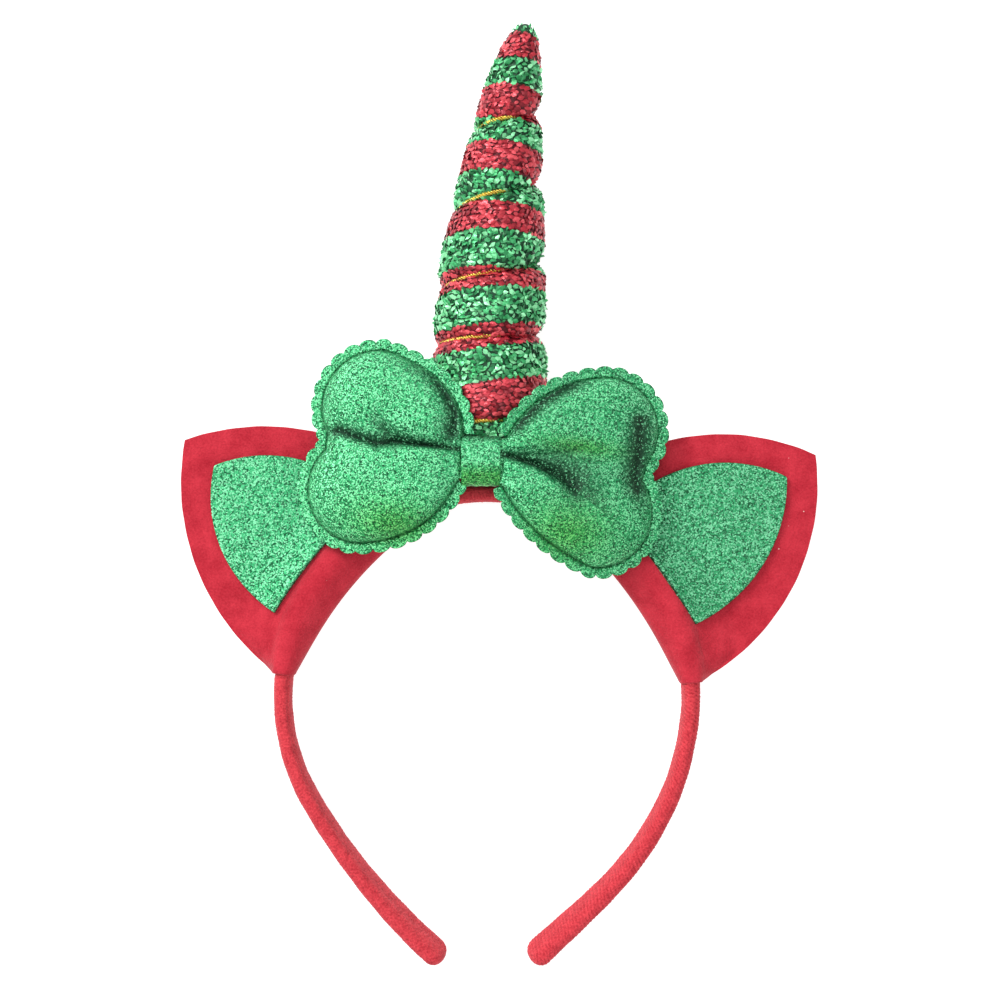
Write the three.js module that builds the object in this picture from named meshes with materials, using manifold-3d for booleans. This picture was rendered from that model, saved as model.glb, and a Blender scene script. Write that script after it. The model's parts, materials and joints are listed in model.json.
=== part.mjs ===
// Unicorn headband: a cloth-wound head band that carries a padded horn in striped foil knit, wound
// with a gold cord, two folded felt ears with glitter leaves, and a pinched glitter bow.
//
// Millimetres. It lies on its back on a floor at Z = 0, with its front up and the horn along +Y.
// Every piece is first drawn in the band's own plane: x to the right, y up the horn, z to the front,
// and the centre of the band's arc at zero. The whole is then tipped and lowered on to the floor.

import * as THREE from 'three';
import { mergeVertices } from 'three/addons/utils/BufferGeometryUtils.js';
import Module from 'manifold-3d';

// Sizes shared by the pieces

const clearance = 0.3; // gap between pieces that touch
const hornPress = 1.2; // how far the horn's back is flattened by its own weight

// Head band

const bandInner = 62.4; // radius of the side that meets the head
const bandThick = 5.6;
const bandWide = 11;
const bandCorner = 2.3;
const bandArc = 120; // degrees of round arc on each side of the crown
const legRadius = 200; // the legs straighten into this larger arc
const legArc = 18;
const tipTwist = 28; // degrees that the tips turn their head side to the front
const twistFrom = 55; // degrees from the crown where the twist starts
const tipRound = 4.2; // length of each rounded tip

// Ears: felt folded over the band and glued to itself, with a glitter leaf on the front

const felt = 1.2;
const earHeight = 60.5; // from the band to the point of a middling ear
const earBulge = 11; // how far a side edge bows out of its straight line
const foldSlack = 5.2; // how far the fold stands off the band at its middle
const sleeveSlope = 4.5; // length over which the two layers close on each other past the band
const sleeveLip = 1.8; // size of the bevels round the band inside the fold
const edgeStart = 0.4; // how far proud of its sleeve an ear's edge starts
const leafThick = 1.8;
const leafBulge = 8;
const leafFootBow = 1.8; // how far a leaf's foot bows towards the band
const leafPoint = 0.3; // half width left at a leaf's point

// One row for each ear. Side is -1 on the left. Lean is the ear's middle line above the level, and
// span is half the ear's foot along the band, both in degrees. Reach, leafTip, leafFoot and leafHalf
// (the ear's length, the leaf's two ends and its half width) are shares of earHeight.
const earRows = [
  { name: 'left', side: -1, lean: 40.4, span: 34.3, reach: 0.97, leafTip: 0.76, leafFoot: 0.02, leafHalf: 0.38 },
  { name: 'right', side: 1, lean: 36.4, span: 32.6, reach: 1.03, leafTip: 0.835, leafFoot: 0.006, leafHalf: 0.33 },
];

// Horn

const hornLength = 147;
const hornBelly = 19.5; // radius at the widest place
const hornSeat = 8; // radius of the flat foot on the band
const bellyShare = 0.14; // height of the widest place, as a share of the length
const hornTaper = 0.45; // power of the taper: 1 is a cone, less is fuller
const hornOffset = 1; // the foot's place, right of the band's middle
const hornLean = 9.6; // how far the tip leans to the right
const leanPower = 2.6;

// Gold cord wound round the horn, in the groove that it pulls into the padding

const cordThick = 1.5;
const grooveDeep = 2.5;
const grooveFlat = 0.9; // half width of the groove's bottom
const grooveWide = 3.4; // half width at its lips
const cordStart = -0.5; // turns, 0 being the first crossing of the front
const cordEnd = 4.55;

// Where each turn crosses the horn's left and right edge, as shares of the horn's length. The first
// and the last row only lead the groove's line on past the cord's ends.
const cordTurns = [
  { left: -0.13, right: -0.06 },
  { left: 0.116, right: 0.149 },
  { left: 0.299, right: 0.327 },
  { left: 0.421, right: 0.484 },
  { left: 0.591, right: 0.657 },
  { left: 0.766, right: 0.807 },
  { left: 0.93, right: 0.985 },
  { left: 1.13, right: 1.19 },
];

// Bow: two padded loops cut from one sheet with a scalloped rim, pinched by a strap

const loopReach = 54.8; // knot's middle to the far side of a loop, at the pressed line
const rimWide = 3.8; // pressed line to the tips of the scallops
const scallopDeep = 1.3;
const scallopPitch = 4.7;
const sheetThick = 0.9;
const loopPuff = 7.2; // height of the padding over the sheet
const puffShoulder = 13; // distance from the pressed line to the full height
const creaseDeep = 3.2; // depth of the fold that runs out of the knot
const creaseWide = 4.5;
const loopSweep = 12.5; // degrees that the loops fall back from the knot
const bowTurn = -6.5; // degrees that the bow is turned in its own plane
const bowSide = -1.4; // the knot's place across the band
const bowRise = 0.0445; // the knot's height over the horn's foot, as a share of the horn's length
const bowPress = 3.3; // how far the knot is pressed into the horn's belly
const knotWide = 12.4;
const knotHigh = 15.8;
const strapThick = 1.2;
const waistThick = 3.6;
const knotCrown = 1.1; // how far the strap's front bulges
const strapCorner = 1.6;

// One row for each lobe of a loop, as shares of loopReach: the lobe's centre and radius, the bend
// of the edge that leads back to the knot (shoulder), and where that edge meets the knot (root).
const lobeRows = {
  leftUpper: { x: 0.62, y: 0.245, r: 0.32, shoulderX: 0.108, shoulderY: 0.388, root: 0.125 },
  rightUpper: { x: 0.64, y: 0.246, r: 0.319, shoulderX: 0.3, shoulderY: 0.495, root: 0.197 },
  lower: { x: 0.684, y: -0.21, r: 0.316, shoulderX: 0.36, shoulderY: -0.484, root: -0.15 },
};

// Materials

function finish(color, roughness, metalness) {
  return new THREE.MeshStandardMaterial({ color, roughness, metalness });
}

const redWinding = finish(0xdc4650, 0.95, 0);
const redFelt = finish(0xd03548, 1, 0);
const greenGlitter = finish(0x2fa468, 0.35, 0.3);
const stripedFoil = finish(0xb83a44, 0.3, 0.6);
const goldCord = finish(0xe0be48, 0.35, 0.7);

// Building closed meshes

const radian = Math.PI / 180;
const wasm = await Module();
wasm.setup();

function signedVolume(points, faces) {
  let total = 0;
  for (const [a, b, c] of faces) total += points[a].dot(points[b].clone().cross(points[c]));
  return total / 6;
}

// A geometry from points and faces: like points merged, empty faces dropped, faces turned outwards.
function closedSurface(points, faces) {
  const rough = new THREE.BufferGeometry().setFromPoints(points);
  rough.setIndex(faces.flat());
  const merged = mergeVertices(rough, 1e-4);
  const place = merged.getAttribute('position');
  const kept = [];
  for (let i = 0; i < place.count; i += 1) kept.push(new THREE.Vector3().fromBufferAttribute(place, i));
  const index = merged.getIndex().array;
  const whole = [];
  for (let i = 0; i < index.length; i += 3) {
    const [a, b, c] = [index[i], index[i + 1], index[i + 2]];
    if (a !== b && b !== c && c !== a) whole.push([a, b, c]);
  }
  if (signedVolume(kept, whole) < 0) whole.forEach((face) => face.reverse());
  merged.setIndex(whole.flat());
  return merged;
}

// Faces between one ring of points and the next, both rings being count long.
function ringFaces(from, to, count, faces) {
  for (let j = 0; j < count; j += 1) {
    const next = (j + 1) % count;
    faces.push([from + j, from + next, to + next], [from + j, to + next, to + j]);
  }
}

// A body from a stack of rings, closed at both ends by a fan to an end point.
function loft(rings, startPoint, endPoint) {
  const count = rings[0].length;
  const points = rings.flat().concat([startPoint, endPoint]);
  const faces = [];
  for (let i = 0; i + 1 < rings.length; i += 1) ringFaces(i * count, (i + 1) * count, count, faces);
  const last = (rings.length - 1) * count;
  for (let j = 0; j < count; j += 1) {
    const next = (j + 1) % count;
    faces.push([next, j, points.length - 2], [last + j, last + next, points.length - 1]);
  }
  return closedSurface(points, faces);
}

function toManifold(geometry) {
  const bare = geometry.clone();
  bare.deleteAttribute('normal');
  bare.deleteAttribute('uv');
  const merged = mergeVertices(bare, 1e-4);
  return new wasm.Manifold(new wasm.Mesh({
    numProp: 3,
    vertProperties: new Float32Array(merged.getAttribute('position').array),
    triVerts: new Uint32Array(merged.getIndex().array),
  }));
}

function fromManifold(body) {
  const mesh = body.getMesh();
  const geometry = new THREE.BufferGeometry();
  geometry.setAttribute('position', new THREE.BufferAttribute(new Float32Array(mesh.vertProperties), 3));
  geometry.setIndex(new THREE.BufferAttribute(new Uint32Array(mesh.triVerts), 1));
  return geometry;
}

// Moves every vertex of a geometry by a function that changes the vector it is given.
function reshape(geometry, change) {
  const place = geometry.getAttribute('position');
  const point = new THREE.Vector3();
  for (let i = 0; i < place.count; i += 1) {
    point.fromBufferAttribute(place, i);
    change(point);
    place.setXYZ(i, point.x, point.y, point.z);
  }
  return geometry;
}

// Point at share t of the round arc from one 2-D point to another that bows to the left by bulge.
function arcPoint(from, to, bulge, t) {
  const chord = to.clone().sub(from);
  const half = chord.length() / 2;
  const radius = (half * half + bulge * bulge) / (2 * bulge);
  const along = chord.normalize();
  const out = new THREE.Vector2(-along.y, along.x);
  const centre = from.clone().add(to).multiplyScalar(0.5).addScaledVector(out, bulge - radius);
  const angle = Math.asin(half / radius) * (2 * t - 1);
  return centre.addScaledVector(out, radius * Math.cos(angle)).addScaledVector(along, radius * Math.sin(angle));
}

// Head band

const bandMid = bandInner + bandThick / 2;
const bandOuter = bandInner + bandThick;
const crownLength = bandMid * bandArc * radian;
const legLength = legRadius * legArc * radian;
const bandLength = crownLength + legLength;

function bandTwist(along) {
  const start = bandMid * twistFrom * radian;
  return tipTwist * radian * THREE.MathUtils.clamp((along - start) / (bandLength - start), 0, 1);
}

// The band's middle line at a distance from the crown, positive to the right: the place, the
// direction of travel, and the section's two axes, out from the head and towards the front.
function bandFrame(distance) {
  const side = distance < 0 ? -1 : 1;
  const along = Math.abs(distance);
  const onArc = Math.min(along, crownLength);
  const turn = onArc / bandMid + (along - onArc) / legRadius;
  const radius = along > crownLength ? legRadius : bandMid;
  const shift = bandMid - radius;
  const bend = bandArc * radian;
  const place = new THREE.Vector3(
    side * (shift * Math.sin(bend) + radius * Math.sin(turn)),
    shift * Math.cos(bend) + radius * Math.cos(turn),
    0,
  );
  const travel = new THREE.Vector3(Math.cos(turn), -side * Math.sin(turn), 0);
  const out = new THREE.Vector3(side * Math.sin(turn), Math.cos(turn), 0);
  const front = new THREE.Vector3(0, 0, 1);
  const twist = bandTwist(along);
  const across = out.clone().multiplyScalar(Math.cos(twist)).addScaledVector(front, -Math.sin(twist));
  const deep = front.clone().multiplyScalar(Math.cos(twist)).addScaledVector(out, Math.sin(twist));
  return { place, travel, across, deep };
}

function roundedRectangle(halfAcross, halfDeep, corner, steps) {
  const points = [];
  for (const [signA, signD, start] of [[1, 1, 0], [-1, 1, 90], [-1, -1, 180], [1, -1, 270]]) {
    for (let i = 0; i <= steps; i += 1) {
      const angle = (start + (90 * i) / steps) * radian;
      points.push(new THREE.Vector2(
        signA * (halfAcross - corner) + corner * Math.cos(angle),
        signD * (halfDeep - corner) + corner * Math.sin(angle),
      ));
    }
  }
  return points;
}

function bandRing(distance, scale, push) {
  const { place, travel, across, deep } = bandFrame(distance);
  const section = roundedRectangle(bandThick / 2, bandWide / 2, bandCorner, 2);
  return section.map((point) => place.clone()
    .addScaledVector(travel, push)
    .addScaledVector(across, point.x * scale)
    .addScaledVector(deep, point.y * scale));
}

// An odd number of steps over the crown leaves one flat facet at the middle of the head side.
const crownSteps = 41;
const legSteps = 7;

function headBand() {
  const stations = [];
  for (let i = legSteps; i >= 1; i -= 1) stations.push(-crownLength - (legLength * i) / legSteps);
  for (let i = 0; i <= crownSteps; i += 1) stations.push(crownLength * ((2 * i) / crownSteps - 1));
  for (let i = 1; i <= legSteps; i += 1) stations.push(crownLength + (legLength * i) / legSteps);
  const rings = stations.map((distance) => bandRing(distance, 1, 0));
  for (const share of [0.5, 0.8, 0.97]) {
    const scale = (1 - share ** 2.6) ** (1 / 2.6);
    rings.unshift(bandRing(-bandLength, scale, -tipRound * share));
    rings.push(bandRing(bandLength, scale, tipRound * share));
  }
  const startFrame = bandFrame(-bandLength);
  const endFrame = bandFrame(bandLength);
  return loft(
    rings,
    startFrame.place.addScaledVector(startFrame.travel, -tipRound),
    endFrame.place.addScaledVector(endFrame.travel, tipRound),
  );
}

// Ears

// Half sizes of the room that the twisted band needs inside a sleeve, at an angle from the crown.
function bandRoom(angle) {
  const twist = bandTwist(bandMid * angle);
  const flatThick = bandThick / 2 - bandCorner;
  const flatWide = bandWide / 2 - bandCorner;
  return {
    thick: flatThick * Math.cos(twist) + flatWide * Math.sin(twist) + bandCorner + clearance,
    wide: flatWide * Math.cos(twist) + flatThick * Math.sin(twist) + bandCorner + clearance,
  };
}

const sleeveShoulder = 0.72; // height of the sleeve's outer shoulder, as a share of its half width

// A felt section in the plane through the arc's centre: radius as x and depth as y. The outer line
// runs from the edge of the ear round the fold, and the inner line is the room for the band.
function earSection(angle, share, edge) {
  const room = bandRoom(angle);
  const outerWall = bandMid + room.thick + felt;
  const slack = foldSlack * (1 - share * share);
  const nose = bandMid - room.thick - felt - slack;
  const merge = outerWall + Math.min(sleeveSlope, (edge - outerWall) / 2);
  const upperOuter = [
    [edge, felt],
    [merge, felt],
    [outerWall, room.wide * sleeveShoulder],
    [outerWall - sleeveLip, room.wide + felt],
    [bandMid - room.thick - felt + sleeveLip, room.wide + felt],
    [bandMid - room.thick - felt - slack * 0.35, room.wide * sleeveShoulder],
    [nose + slack * 0.08, room.wide * 0.38],
  ];
  const upperInner = [
    [bandMid + room.thick, room.wide - sleeveLip],
    [bandMid + room.thick - sleeveLip / 2, room.wide],
    [bandMid - room.thick + sleeveLip / 2, room.wide],
    [bandMid - room.thick - slack * 0.35, room.wide - sleeveLip],
    [nose + felt + slack * 0.05, room.wide * 0.38],
  ];
  const apex = Math.min(bandMid + room.thick + sleeveSlope * 0.6, edge - felt);
  const mirror = (rows) => rows.map(([x, y]) => [x, -y]).reverse();
  const outer = [...upperOuter, [nose, 0], ...mirror(upperOuter)];
  const inner = [[apex, 0], ...upperInner, [nose + felt, 0], ...mirror(upperInner)];
  const toPoints = (rows) => rows.map(([x, y]) => new THREE.Vector2(x, y));
  return { outer: toPoints(outer), inner: toPoints(inner) };
}

// Places a point given by its angle from the crown, its radius and its depth on one side.
function polarPoint(side, angle, radius, depth) {
  return new THREE.Vector3(side * radius * Math.sin(angle), radius * Math.cos(angle), depth);
}

// The radius where an ear's edge starts at its corner, just proud of the sleeve's outer wall.
function earCorner(angle) {
  return bandMid + bandRoom(angle).thick + felt + edgeStart;
}

function earFelt(row) {
  const steps = 10;
  const middle = (90 - row.lean) * radian;
  const span = row.span * radian;
  const tip = new THREE.Vector2(bandOuter + earHeight * row.reach, 0);
  const stations = [];
  for (let i = -steps; i <= steps; i += 1) {
    const towards = i < 0 ? -1 : 1;
    const corner = earCorner(middle + towards * span);
    const from = new THREE.Vector2(corner * Math.cos(span), corner * Math.sin(span));
    const edge = arcPoint(from, tip, earBulge, 1 - Math.abs(i) / steps);
    const offset = towards * Math.atan2(edge.y, edge.x);
    stations.push({ angle: middle + offset, share: offset / span, edge: edge.length() });
  }
  const sections = stations.map(({ angle, share, edge }) => earSection(angle, share, edge));
  const outerCount = sections[0].outer.length;
  const innerCount = sections[0].inner.length;
  const faces = [];
  const placed = (name) => stations.flatMap(({ angle }, i) => sections[i][name]
    .map((point) => polarPoint(row.side, angle, point.x, point.y)));
  const points = placed('outer').concat(placed('inner'));
  const innerStart = stations.length * outerCount;
  for (let i = 0; i + 1 < stations.length; i += 1) {
    ringFaces(i * outerCount, (i + 1) * outerCount, outerCount, faces);
    const inside = innerStart + i * innerCount;
    ringFaces(inside + innerCount, inside, innerCount, faces);
  }
  for (const [station, flip] of [[0, true], [stations.length - 1, false]]) {
    const { outer, inner } = sections[station];
    const flat = [...outer, ...inner];
    const toIndex = (k) => (k < outerCount
      ? station * outerCount + k
      : innerStart + station * innerCount + k - outerCount);
    const triangles = THREE.ShapeUtils.triangulateShape(outer, [inner]);
    let area = 0;
    for (const corners of triangles) area += THREE.ShapeUtils.area(corners.map((k) => flat[k]));
    for (const corners of triangles) {
      const face = corners.map(toIndex);
      faces.push((area > 0) === flip ? face.reverse() : face);
    }
  }
  return closedSurface(points, faces);
}

// Height of the felt's front face over the band's plane at a radius, past the sleeve's shoulder.
function feltFront(angle, radius) {
  const room = bandRoom(angle);
  const outerWall = bandMid + room.thick + felt;
  const rise = room.wide * sleeveShoulder - felt;
  return felt + rise * THREE.MathUtils.clamp((outerWall + sleeveSlope - radius) / sleeveSlope, 0, 1);
}

function earLeaf(row) {
  const rows = 7;
  const columns = 6;
  const middle = (90 - row.lean) * radian;
  const foot = earCorner(middle) + earHeight * row.leafFoot;
  const half = earHeight * row.leafHalf;
  const footCorner = new THREE.Vector2(Math.sqrt((foot + leafFootBow) ** 2 - half ** 2), half);
  const tip = new THREE.Vector2(bandOuter + earHeight * row.leafTip, leafPoint);
  const back = [];
  const front = [];
  for (let i = 0; i <= rows; i += 1) {
    const share = i / rows;
    const side = arcPoint(footCorner, tip, leafBulge, share);
    for (let j = 0; j <= columns; j += 1) {
      const across = (2 * j) / columns - 1;
      const bow = (foot - footCorner.x) * (1 - across * across) * (1 - share) ** 2;
      const flat = new THREE.Vector2(side.x + bow, side.y * across);
      const angle = middle + flat.angle() - (flat.y < 0 ? 2 * Math.PI : 0);
      const radius = flat.length();
      const lift = feltFront(angle, radius) + clearance * 1.5;
      back.push(polarPoint(row.side, angle, radius, lift));
      front.push(polarPoint(row.side, angle, radius, lift + leafThick));
    }
  }
  const wide = columns + 1;
  const faces = [];
  const quad = (a, b, c, d) => faces.push([a, b, c], [a, c, d]);
  const lift = back.length;
  for (let i = 0; i < rows; i += 1) {
    for (let j = 0; j < columns; j += 1) {
      const a = i * wide + j;
      quad(a, a + 1, a + wide + 1, a + wide);
      quad(lift + a, lift + a + wide, lift + a + wide + 1, lift + a + 1);
    }
  }
  for (let j = 0; j < columns; j += 1) {
    const end = rows * wide + j;
    quad(j, lift + j, lift + j + 1, j + 1);
    quad(end, end + 1, lift + end + 1, lift + end);
  }
  for (let i = 0; i < rows; i += 1) {
    const right = i * wide + columns;
    quad(i * wide, (i + 1) * wide, lift + (i + 1) * wide, lift + i * wide);
    quad(right, lift + right, lift + right + wide, right + wide);
  }
  return closedSurface([...back, ...front], faces);
}

// Horn and its cord

const hornFoot = bandOuter * 1.002 + clearance; // clear of the band's crown, which is not quite flat
const hornTip = hornFoot + hornLength;
const bowHeight = hornFoot + hornLength * bowRise;
const knotBack = hornBelly - bowPress; // depth of the knot's back over the band's plane
const bellyHeight = hornFoot + hornLength * bellyShare;

function hornAxis(height) {
  const share = (height - hornFoot) / hornLength;
  return hornOffset + hornLean * Math.max(share, 0) ** leanPower;
}

// Radius of the unbound horn: a full taper above the belly and a quarter of an oval below it.
function hornRadius(height) {
  if (height >= bellyHeight) {
    return hornBelly * (Math.max(hornTip - height, 0) / (hornTip - bellyHeight)) ** hornTaper;
  }
  const drop = (bellyHeight - height) / (bellyHeight - hornFoot);
  const seat = hornSeat / hornBelly;
  return hornBelly * Math.sqrt(1 - drop * drop * (1 - seat * seat));
}

// Height of the cord's line after a number of turns: an even, always rising curve through the
// crossings of the two edges, which lie half a turn apart.
const crossings = cordTurns.flatMap(({ left, right }) => [left, right]);
const firstCrossing = -1.25;

function cordHeight(turns) {
  const place = THREE.MathUtils.clamp((turns - firstCrossing) * 2, 0, crossings.length - 1.001);
  const i = Math.floor(place);
  const t = place - i;
  const step = (k) => crossings[k + 1] - crossings[k];
  const slope = (k) => {
    if (k < 1) return step(0);
    if (k > crossings.length - 2) return step(crossings.length - 2);
    return (2 * step(k - 1) * step(k)) / (step(k - 1) + step(k));
  };
  const rise = step(i);
  const bend = t * t * (3 - 2 * t) * rise;
  const start = t * (1 - t) * (1 - t) * slope(i);
  const end = t * t * (t - 1) * slope(i + 1);
  return hornFoot + hornLength * (crossings[i] + bend + start + end);
}

// Depth of the groove at a distance from the cord's line, fading out past the cord's two ends.
function grooveDepth(distance, turns, radius) {
  const lip = THREE.MathUtils.clamp((grooveWide - Math.abs(distance)) / (grooveWide - grooveFlat), 0, 1);
  const ends = THREE.MathUtils.clamp((turns - cordStart + 0.12) / 0.06, 0, 1)
    * THREE.MathUtils.clamp((cordEnd + 0.12 - turns) / 0.06, 0, 1);
  return Math.min(grooveDeep, radius * 0.4) * lip * ends;
}

function roundHorn() {
  const columns = 30;
  const turns = cordTurns.length;
  const points = [];
  for (let j = 0; j < columns; j += 1) {
    const angle = (2 * Math.PI * j) / columns;
    for (let k = -2; k < turns - 2; k += 1) {
      const turn = k + j / columns;
      const low = cordHeight(turn);
      const high = cordHeight(turn + 1);
      const middle = high - low - 2 * grooveWide;
      const rows = [
        [low + grooveFlat, grooveFlat, turn],
        [low + grooveWide, grooveWide, turn],
        [low + grooveWide + middle / 3, grooveWide, turn],
        [high - grooveWide - middle / 3, grooveWide, turn],
        [high - grooveWide, grooveWide, turn + 1],
        [high - grooveFlat, grooveFlat, turn + 1],
      ];
      for (const [rough, distance, near] of rows) {
        const height = THREE.MathUtils.clamp(rough, hornFoot, hornTip);
        const full = hornRadius(height);
        const radius = Math.max(full - grooveDepth(distance, near, full), 0);
        const [x, z] = [hornAxis(height) + radius * Math.sin(angle), radius * Math.cos(angle)];
        points.push(new THREE.Vector3(x, height, z));
      }
    }
  }
  const rowCount = points.length / columns;
  const perTurn = rowCount / turns;
  const faces = [];
  const at = (column, row) => {
    const around = Math.floor(column / columns);
    return (column - around * columns) * rowCount + row + around * perTurn;
  };
  for (let j = 0; j < columns; j += 1) {
    for (let i = 0; i + 1 < rowCount; i += 1) {
      const inside = j + 1 < columns || i + 1 + perTurn < rowCount;
      if (inside) {
        faces.push([at(j, i), at(j + 1, i), at(j + 1, i + 1)]);
        faces.push([at(j, i), at(j + 1, i + 1), at(j, i + 1)]);
      }
    }
  }
  // The last column meets the first one turn higher, so the rows left over at its foot and at the
  // tip all lie on the foot's edge or on the tip, where the fan below closes them.
  const foot = points.length;
  points.push(new THREE.Vector3(hornAxis(hornFoot), hornFoot, 0));
  for (let j = 0; j < columns; j += 1) {
    const start = j * rowCount;
    const next = ((j + 1) % columns) * rowCount;
    faces.push([foot, next, start]);
  }
  return closedSurface(points, faces);
}

// The horn as it lies: pressed flat on the floor at its back, and by the bow's knot at its front.
function restingHorn(tip, floorLevel) {
  const deep = hornBelly;
  const underFloor = new THREE.BoxGeometry(6 * hornBelly, 3 * hornLength, deep);
  underFloor.translate(0, 0, floorLevel - deep / 2).rotateX(-tip);
  const room = 3 * clearance;
  const underKnot = new THREE.BoxGeometry(knotWide + 2 * room, knotHigh + 2 * room, deep);
  underKnot.translate(0, 0, knotBack - clearance + deep / 2).rotateZ(bowTurn * radian);
  underKnot.translate(bowSide, bowHeight, 0);
  const horn = toManifold(roundHorn());
  return fromManifold(horn.subtract(toManifold(underFloor)).subtract(toManifold(underKnot)));
}

// The cord's middle line, clear of the groove's bottom by the same gap on a slope as on the level.
class WoundLine extends THREE.Curve {
  getPoint(t, target = new THREE.Vector3()) {
    const turns = cordStart + (cordEnd - cordStart) * t;
    const height = cordHeight(turns);
    const angle = 2 * Math.PI * turns;
    const radius = hornRadius(height);
    const near = grooveFlat / 2;
    const slope = (hornRadius(height + near) - hornRadius(height - near)) / (2 * near);
    const lift = (cordThick / 2 + clearance * 1.7) * Math.hypot(1, slope);
    const path = radius - Math.min(grooveDeep, radius * 0.4) + lift;
    return target.set(hornAxis(height) + path * Math.sin(angle), height, path * Math.cos(angle));
  }
}

function woundCord() {
  const sides = 6;
  const stepsPerTurn = 22;
  const section = new THREE.Shape();
  for (let i = 0; i < sides; i += 1) {
    const angle = (2 * Math.PI * i) / sides;
    const [x, y] = [(cordThick / 2) * Math.cos(angle), (cordThick / 2) * Math.sin(angle)];
    if (i === 0) section.moveTo(x, y);
    else section.lineTo(x, y);
  }
  section.closePath();
  return new THREE.ExtrudeGeometry(section, {
    steps: Math.round(stepsPerTurn * (cordEnd - cordStart)),
    extrudePath: new WoundLine(),
    bevelEnabled: false,
  });
}

// Bow

const bowDepth = knotBack + clearance + strapThick + clearance + waistThick / 2;
const loopStart = knotWide / 2 + clearance; // the loops begin beside the strap

// The pressed line round a loop, clockwise from the root over the upper lobe to the lower root.
function loopLine(upper, lower) {
  const size = (row) => ({
    x: row.x * loopReach,
    y: row.y * loopReach,
    r: row.r * loopReach,
    shoulder: [row.shoulderX * loopReach, row.shoulderY * loopReach],
    root: row.root * loopReach,
  });
  const [top, bottom] = [size(upper), size(lower)];
  const notchFrom = -28 * radian;
  const notchTo = 38 * radian;
  const startLow = [bottom.x + bottom.r * Math.cos(notchTo), bottom.y + bottom.r * Math.sin(notchTo)];
  const line = new THREE.Path();
  line.moveTo(loopStart + clearance, top.root);
  line.quadraticCurveTo(...top.shoulder, top.x, top.y + top.r);
  line.absarc(top.x, top.y, top.r, Math.PI / 2, notchFrom, true);
  line.lineTo(...startLow);
  line.absarc(bottom.x, bottom.y, bottom.r, notchTo, -Math.PI / 2, true);
  line.quadraticCurveTo(...bottom.shoulder, loopStart + clearance, bottom.root);
  return line;
}

// The sheet's scalloped outline: the pressed line moved out, further at each scallop's middle.
function scallopedSheet(line) {
  const scallops = Math.round(line.getLength() / scallopPitch);
  const perScallop = 3;
  const count = scallops * perScallop;
  const spaced = line.getSpacedPoints(count);
  const rim = spaced.map((point, i) => {
    const before = spaced[Math.max(i - 1, 0)];
    const after = spaced[Math.min(i + 1, count)];
    const along = after.clone().sub(before).normalize();
    const wave = Math.abs(Math.sin((Math.PI * i) / perScallop));
    const reach = rimWide - scallopDeep * (1 - wave);
    const moved = new THREE.Vector2(point.x - along.y * reach, point.y + along.x * reach);
    moved.x = Math.max(moved.x, loopStart);
    return moved;
  });
  const sheet = new THREE.ExtrudeGeometry(new THREE.Shape(rim), { depth: sheetThick, bevelEnabled: false });
  return sheet.translate(0, 0, -sheetThick / 2);
}

function distanceToLine(x, y, outline) {
  let nearest = Infinity;
  for (let i = 0; i < outline.length; i += 1) {
    const a = outline[i];
    const b = outline[(i + 1) % outline.length];
    const [dx, dy] = [b.x - a.x, b.y - a.y];
    const t = THREE.MathUtils.clamp(((x - a.x) * dx + (y - a.y) * dy) / (dx * dx + dy * dy), 0, 1);
    nearest = Math.min(nearest, Math.hypot(x - a.x - t * dx, y - a.y - t * dy));
  }
  return nearest;
}

// The padding's height over the sheet: a round shoulder along the pressed line, less the fold that
// runs out of the knot and dies away towards the notch between the lobes.
function padHeight(x, y, outline, notch) {
  const rise = Math.min(distanceToLine(x, y, outline) / puffShoulder, 1);
  const dome = loopPuff * Math.sqrt(1 - (1 - rise) * (1 - rise));
  const along = x / notch.x;
  const off = (y - notch.y * along) / creaseWide;
  const fold = creaseDeep * Math.exp(-off * off) * (1 - 0.75 * THREE.MathUtils.clamp(along, 0, 1));
  return dome - Math.min(fold, dome * 0.8);
}

function loopPad(line, notch) {
  const spokes = 36;
  const rings = [0.28, 0.5, 0.7, 0.85, 0.95, 1];
  const outline = line.getSpacedPoints(spokes - 1);
  const centre = new THREE.Vector2(loopReach * 0.6, 0);
  const surface = rings.map((share) => outline.map((point) => {
    const flat = centre.clone().lerp(point, share);
    const height = share < 1 ? padHeight(flat.x, flat.y, outline, notch) : 0;
    return new THREE.Vector3(flat.x, flat.y, height + sheetThick * 0.2);
  }));
  const summit = new THREE.Vector3(centre.x, centre.y, padHeight(centre.x, centre.y, outline, notch));
  const under = outline.map((point) => new THREE.Vector3(point.x, point.y, -sheetThick * 0.2));
  return loft([...surface, under], summit, new THREE.Vector3(centre.x, centre.y, -sheetThick * 0.2));
}

function bowPad() {
  const fall = Math.tan(loopSweep * radian);
  const waistLong = knotWide + 10 * clearance; // reaches into the start of each loop
  const waistHigh = knotHigh - 2 * strapThick - 4 * clearance;
  let body = toManifold(new THREE.BoxGeometry(waistLong, waistHigh, waistThick));
  for (const [side, upper] of [[-1, lobeRows.leftUpper], [1, lobeRows.rightUpper]]) {
    const line = loopLine(upper, lobeRows.lower);
    const notch = new THREE.Vector2(loopReach * 0.9, loopReach * 0.04);
    const flat = fromManifold(toManifold(scallopedSheet(line)).add(toManifold(loopPad(line, notch))));
    const swept = toManifold(reshape(flat, (point) => {
      point.z -= fall * (point.x - loopStart);
    }));
    body = body.add(side < 0 ? swept.mirror([1, 0, 0]) : swept);
  }
  return fromManifold(body);
}

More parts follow.
